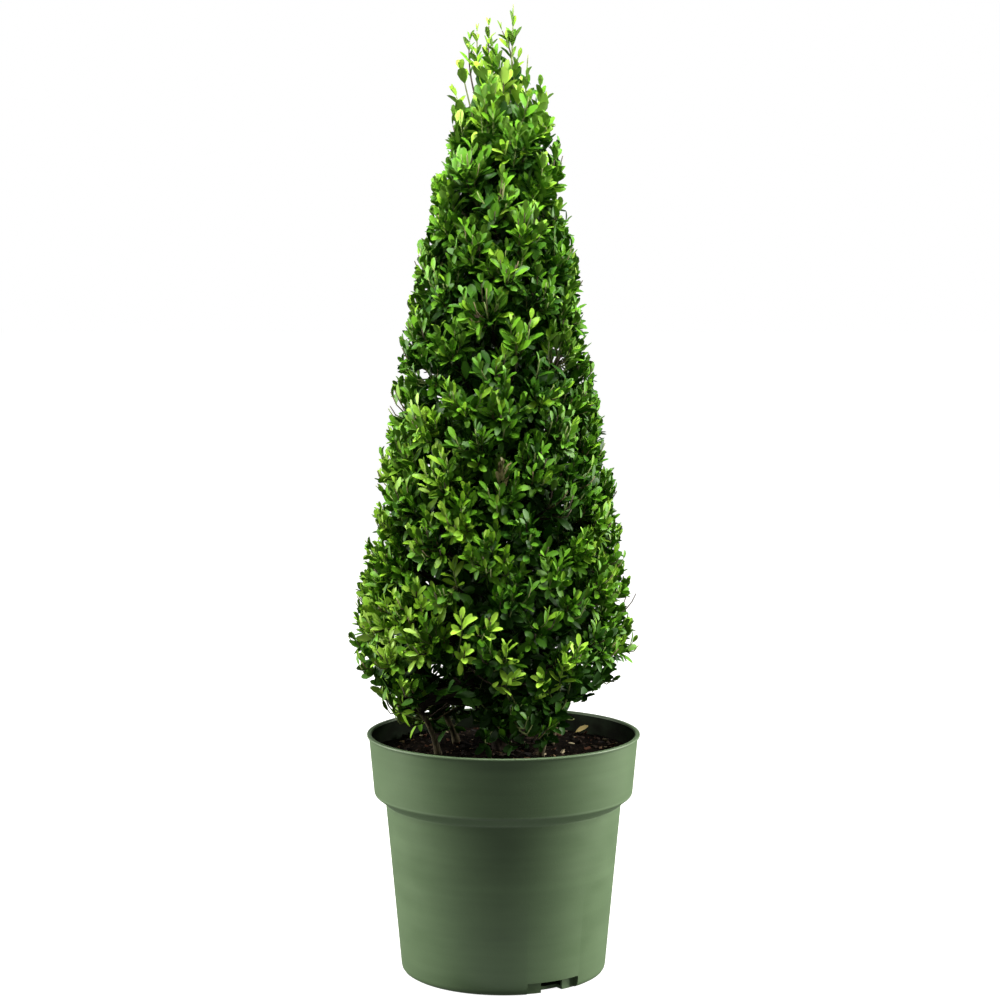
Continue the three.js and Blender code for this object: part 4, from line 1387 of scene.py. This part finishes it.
def grow_shoots(foliage, sprays):
    """Fine shoots spread over the outline, each from the nearest spray, in tufts with gaps between."""
    tips, directions, roots = sprays
    random = np.random.RandomState(SHOOT_SEED)
    tones = spray_tones(tips, random)
    sinks = random.normal(0, TUFT_SINK, SPRAYS)
    thin = random.rand(SPRAYS) < THIN_SPRAYS
    for i, height in enumerate(even_heights(SHOOTS)):
        height = clamp(height + random.normal(0, SHOOT_SCATTER), CROWN_FOOT, CROWN_TOP - 1)
        slip = random.normal(0, SHOOT_SCATTER) / max(crown_radius(height), SHOOT_SLIP_RADIUS)
        angle = i * GOLDEN_ANGLE + math.degrees(slip)
        surface = on_outline(angle, height)
        near = int(np.argmin(np.linalg.norm(tips - surface, axis=1)))
        hollow = in_hollow(angle, height)
        if random.rand() > kept_share(surface, thin[near], hollow):
            continue
        aside = (surface - tips[near]) * TUFT_GATHER
        place = tips[near] + aside
        far = min(np.linalg.norm(aside) / TUFT_RADIUS, TUFT_EDGE)
        depth = TUFT_FALL * far * far - TUFT_HEIGHT + sinks[near] + random.normal(0, SHOOT_DEPTH_SCATTER)
        deep = random.rand() < DEEP_SHARE or hollow
        if deep:
            depth += HOLLOW_DEPTH if hollow else random.uniform(*DEEP_SHOOTS)
        skirt = max(0, (SKIRT_TOP - height) / (SKIRT_TOP - CROWN_FOOT))
        turn_up = UP * (SHOOT_UPTURN + SHOOT_SKIRT_UPTURN * skirt) * random.uniform(*SHOOT_UPTURNS)
        way = unit(directions[near] + aside / SHOOT_FAN + turn_up + random.normal(0, SHOOT_WANDER, 3))
        middle = crown_middle(place[2])
        out = unit(place - middle)
        radius = crown_radius(place[2])
        tip = middle + out * max(radius - depth, radius * SHOOT_LEAST_RADIUS) - way * SHOOT_TIP
        ragged = tip[2] > RAGGED_TOP - RAGGED_FALL * max(tip[0], 0)
        if ragged or clipped_off(tip) or in_sky_gap(tip):
            continue
        foot = lerp(roots[near], tips[near], random.uniform(*SHOOT_FEET))
        path = grown_path(foot, directions[near], tip, way, SHOOT_PULLS, SHOOT_STEPS)
        # Shoots set deeper are darker: painted shade
        tone = tones[near] + random.normal(0, SHOOT_TONE_SCATTER) - (DEEP_SHADE_DROP if deep else 0)
        size = 1 + LEAF_TOP_GROWTH * (1 - min(radius / SPRAY_FULL_RADIUS / LEAF_TOP_RADIUS, 1))
        nodes = LEAF_NODES[:SKIRT_NODES] if height < SKIRT_OPEN else LEAF_NODES
        foliage.add_shoot(path, out, tone, random, size, nodes)


def grow_leaders(foliage):
    """Long thin shoots over the top, with young leaves held close to them."""
    random = np.random.RandomState(LEADER_SEED)
    for foot, tip, size, tone, bare in LEADERS:
        foot, tip = np.array(foot, dtype=float), np.array(tip, dtype=float)
        bow = np.array([random.normal(0, LEADER_BOW), random.normal(0, LEADER_BOW), 0])
        pulls = [lerp(foot, tip, share) + bow for share in LEADER_PULLS]
        path = bezier(foot, *pulls, tip, LEADER_STEPS)
        nodes = [bare + distance for distance in LEADER_NODES]
        foliage.add_shoot(path, level_way(tip), tone, random, size, nodes, None, LEADER_SPREAD, False)


def grow_dead_sprig(foliage):
    """The one small sprig that has died and turned brown."""
    random = np.random.RandomState(DEAD_SEED)
    tip = np.array(DEAD_TIP, dtype=float)
    for _ in range(DEAD_TWIGS):
        way = unit(UP + FRONT * DEAD_LEAN + random.normal(0, DEAD_WANDER, 3))
        foot = tip - way * DEAD_LENGTH - FRONT * DEAD_SINK
        end = tip + random.normal(0, DEAD_TIP_SCATTER, 3)
        path = bezier(foot, foot + way * DEAD_PULLS[0], tip - way * DEAD_PULLS[1], end, DEAD_STEPS)
        foliage.add_shoot(path, FRONT, 0, random, DEAD_SIZE, LEAF_NODES, DEAD, DEAD_SPREAD, False)


def grow_sprig(foliage, tip, way, tone, random, nodes=LEAF_NODES, tint=None):
    """A short sprig that grows from the nearest low limb to a tip, its tone given with its scatter."""
    tone = tone[0] + random.normal(0, tone[1])
    limb = min(low_limbs(), key=lambda line: np.linalg.norm(line - tip, axis=1).min())
    nearest = int(np.argmin(np.linalg.norm(limb - tip, axis=1)))
    foot = limb[max(nearest - random.randint(*SPRIG_FEET), 1)]
    out = level_way(tip)
    path = grown_path(foot, out + UP * SPRIG_SET_OFF, tip, way, SPRIG_PULLS, SPRIG_STEPS)
    foliage.add_shoot(path, out, tone, random, 1.0, nodes, tint)


def grow_low_sprigs(foliage):
    """Bright sprigs along the edge of the skirt, low ones near the soil and dark ones in the shade."""
    random = np.random.RandomState(SPRIG_SEED)
    turned_sprigs = [(angle + turn, *place) for turn in SKIRT_TURNS for angle, *place in SKIRT_SPRIGS]
    for angle, radius, height in turned_sprigs + SKIRT_LEFT_SPRIGS:
        tip = around_axis(radius, angle, height)
        way = unit(outward(angle, SKIRT_RISE) + random.normal(0, SKIRT_WANDER, 3))
        # The front sprigs get painted light as a brighter colour, their turned copies keep their tone
        tint = PAINTED_FRONT_LIGHT if (angle, radius, height) in SKIRT_SPRIGS else None
        grow_sprig(foliage, tip, way, SKIRT_TONE, random, tint=tint)
    for turn in SKIRT_TURNS:
        for tip in turned_about(LOW_SPRIGS, math.radians(turn)):
            way = unit(level_way(tip) * LOW_OUTWARD + UP + random.normal(0, LOW_WANDER, 3))
            # Dark, as painted shade under the crown
            grow_sprig(foliage, tip, way, LOW_SHADE_TONE, random)
    for _ in range(SHADE_SPRIGS):
        angle = random.uniform(-180, 180)
        reach = SHADE_FRONT_RADIUS if SHADE_FRONT[0] < angle < SHADE_FRONT[1] else SHADE_RADII[1]
        tip = around_axis(random.uniform(SHADE_RADII[0], reach), angle, random.uniform(*SHADE_HEIGHTS))
        if clipped_off(tip, SHADE_INSET):
            continue
        way = unit(outward(angle, SHADE_RISE) + random.normal(0, SHADE_WANDER, 3))
        grow_sprig(foliage, tip, way, SHADE_TONE, random, LEAF_NODES[:SKIRT_NODES])


def grow_inner_leaves(foliage, sprays):
    """Older leaves along the boughs, inside the crown, dark partly as painted shade."""
    tips, directions, roots = sprays
    random = np.random.RandomState(INNER_SEED)
    for _ in range(INNER_LEAVES):
        i = random.randint(SPRAYS)
        start = bough_start(roots[i])[0]
        root = lerp(start, tips[i], random.uniform(*INNER_PLACES)) + random.normal(0, INNER_SCATTER, 3)
        if root[2] < INNER_FOOT:
            continue
        along = unit(directions[i] + random.normal(0, INNER_WANDER, 3))
        facing = level_way(root) + UP + random.normal(0, INNER_TILT, 3)
        length = LEAF_LENGTH * random.uniform(*INNER_SIZES)
        tip = root + along * length
        if leaf_room(root, tip) and not clipped_off(tip, SHADE_INSET) and not in_sky_gap(root):
            # Only the two darkest tones, partly painted shade
            tint = DARK if random.rand() < INNER_DARK_SHARE else DEEP
            mass = foliage.leaves[mass_of(root)]
            mass.add(root, along, facing, length, length * INNER_WIDTH, INNER_CURL, INNER_CUP, tint)


def make_fallen_leaves():
    """A few old leaves that have dropped on the soil."""
    random = np.random.RandomState(FALLEN_SEED)
    leaves = Leaves()
    for x, y in FALLEN_LEAVES:
        root = (x, y, soil_height(x, y) + FALLEN_RAISE)
        along = unit(np.array([*random.normal(0, 1, 2), FALLEN_RISE]))
        facing = UP + random.normal(0, FALLEN_TILT, 3)
        length = FALLEN_LENGTH * random.uniform(*FALLEN_SIZES)
        leaves.add(root, along, facing, length, FALLEN_WIDTH, FALLEN_CURL, FALLEN_CUP, 0)
    points, faces, rim = leaves.mesh()
    batch = Batch()
    batch.add(points, *[(corners, 0) for corners, _ in faces])
    old_leaf = new_material("fallen_leaf", (0.46, 0.36, 0.14), 0.6, 0.3)[0]
    mark_sharp_rims(make_piece("fallen_leaves", batch, [old_leaf]), rim)


# Stage, light and camera

def make_floor():
    """A pale floor that looks as white as the background."""
    mesh = bpy.data.meshes.new("studio_floor")
    corners = [(x * FLOOR_REACH, y * FLOOR_REACH, 0) for x, y in ((-1, -1), (1, -1), (1, 1), (-1, 1))]
    mesh.from_pydata(corners, [], [(0, 1, 2, 3)])
    floor = add_object("studio_floor", mesh)
    material, shader, _ = new_material("pale_floor", grey(FLOOR_ALBEDO), 0.9, 0.1)
    shader.inputs["Emission Color"].default_value = (*WHITE, 1)
    shader.inputs["Emission Strength"].default_value = BACKGROUND - FLOOR_ALBEDO * FILL_LIGHT
    mesh.materials.append(material)
    floor.visible_diffuse = False
    floor.visible_glossy = False


def area_lamp(name, place, size, power, rotation, colour=WHITE, spread=180):
    """A lamp with a rectangular face that the camera doesn't see."""
    lamp = bpy.data.lights.new(name, "AREA")
    lamp.shape = "RECTANGLE"
    lamp.size, lamp.size_y = size
    lamp.energy = power
    lamp.color = colour
    lamp.spread = math.radians(spread)
    box = add_object(name, lamp)
    box.location = place
    box.rotation_euler = rotation
    box.visible_camera = False


def make_lamps():
    """Softboxes that look at the plant, and the light that the floor in front of the pot throws back up."""
    for name, place, size, power, aim, spread in SOFTBOXES:
        rotation = (Vector((0, 0, aim)) - Vector(place)).to_track_quat("-Z", "Y").to_euler()
        area_lamp(name, place, size, power, rotation, SOFTBOX_COLOUR, spread)
    glow_place = (0, -BASE_RADIUS * MM - GLOW_SIZE[1] / 2 - GLOW_GAP, GLOW_RAISE)
    area_lamp("floor_glow", glow_place, GLOW_SIZE, GLOW_POWER, (math.pi, 0, 0))


def make_world():
    """A white background, and a weaker fill light from all round."""
    world = bpy.data.worlds.new("studio")
    bpy.context.scene.world = world
    world.use_nodes = True
    tree = world.node_tree
    fill = tree.nodes["Background"]
    fill.inputs["Color"].default_value = (*WHITE, 1)
    fill.inputs["Strength"].default_value = FILL_LIGHT
    seen = add_node(tree, "Background", Color=(*WHITE, 1), Strength=BACKGROUND)
    choice = add_node(tree, "MixShader", Fac=add_node(tree, "LightPath").outputs["Is Camera Ray"])
    tree.links.new(fill.outputs["Background"], choice.inputs[1])
    tree.links.new(seen.outputs["Background"], choice.inputs[2])
    tree.links.new(choice.outputs["Shader"], tree.nodes["World Output"].inputs["Surface"])


def make_camera():
    """The camera of the photograph."""
    camera = add_object("camera", bpy.data.cameras.new("camera"))
    camera.location = Vector(CAMERA_PLACE) * MM
    camera.rotation_euler = (math.radians(90 - CAMERA_PITCH), 0, 0)
    camera.data.sensor_fit = "HORIZONTAL"
    camera.data.sensor_width = CAMERA_SENSOR
    camera.data.lens = CAMERA_LENS
    bpy.context.scene.camera = camera
    bpy.context.scene.view_settings.view_transform = "Standard"


make_floor()
make_lamps()
make_world()
make_camera()
make_pot()
make_soil()
make_chips()
make_fallen_leaves()
make_trunk_and_stems()
sprays = make_sprays()
make_boughs(sprays)
foliage = Foliage()
grow_shoots(foliage, sprays)
grow_leaders(foliage)
grow_dead_sprig(foliage)
grow_low_sprigs(foliage)
grow_inner_leaves(foliage, sprays)
foliage.make()
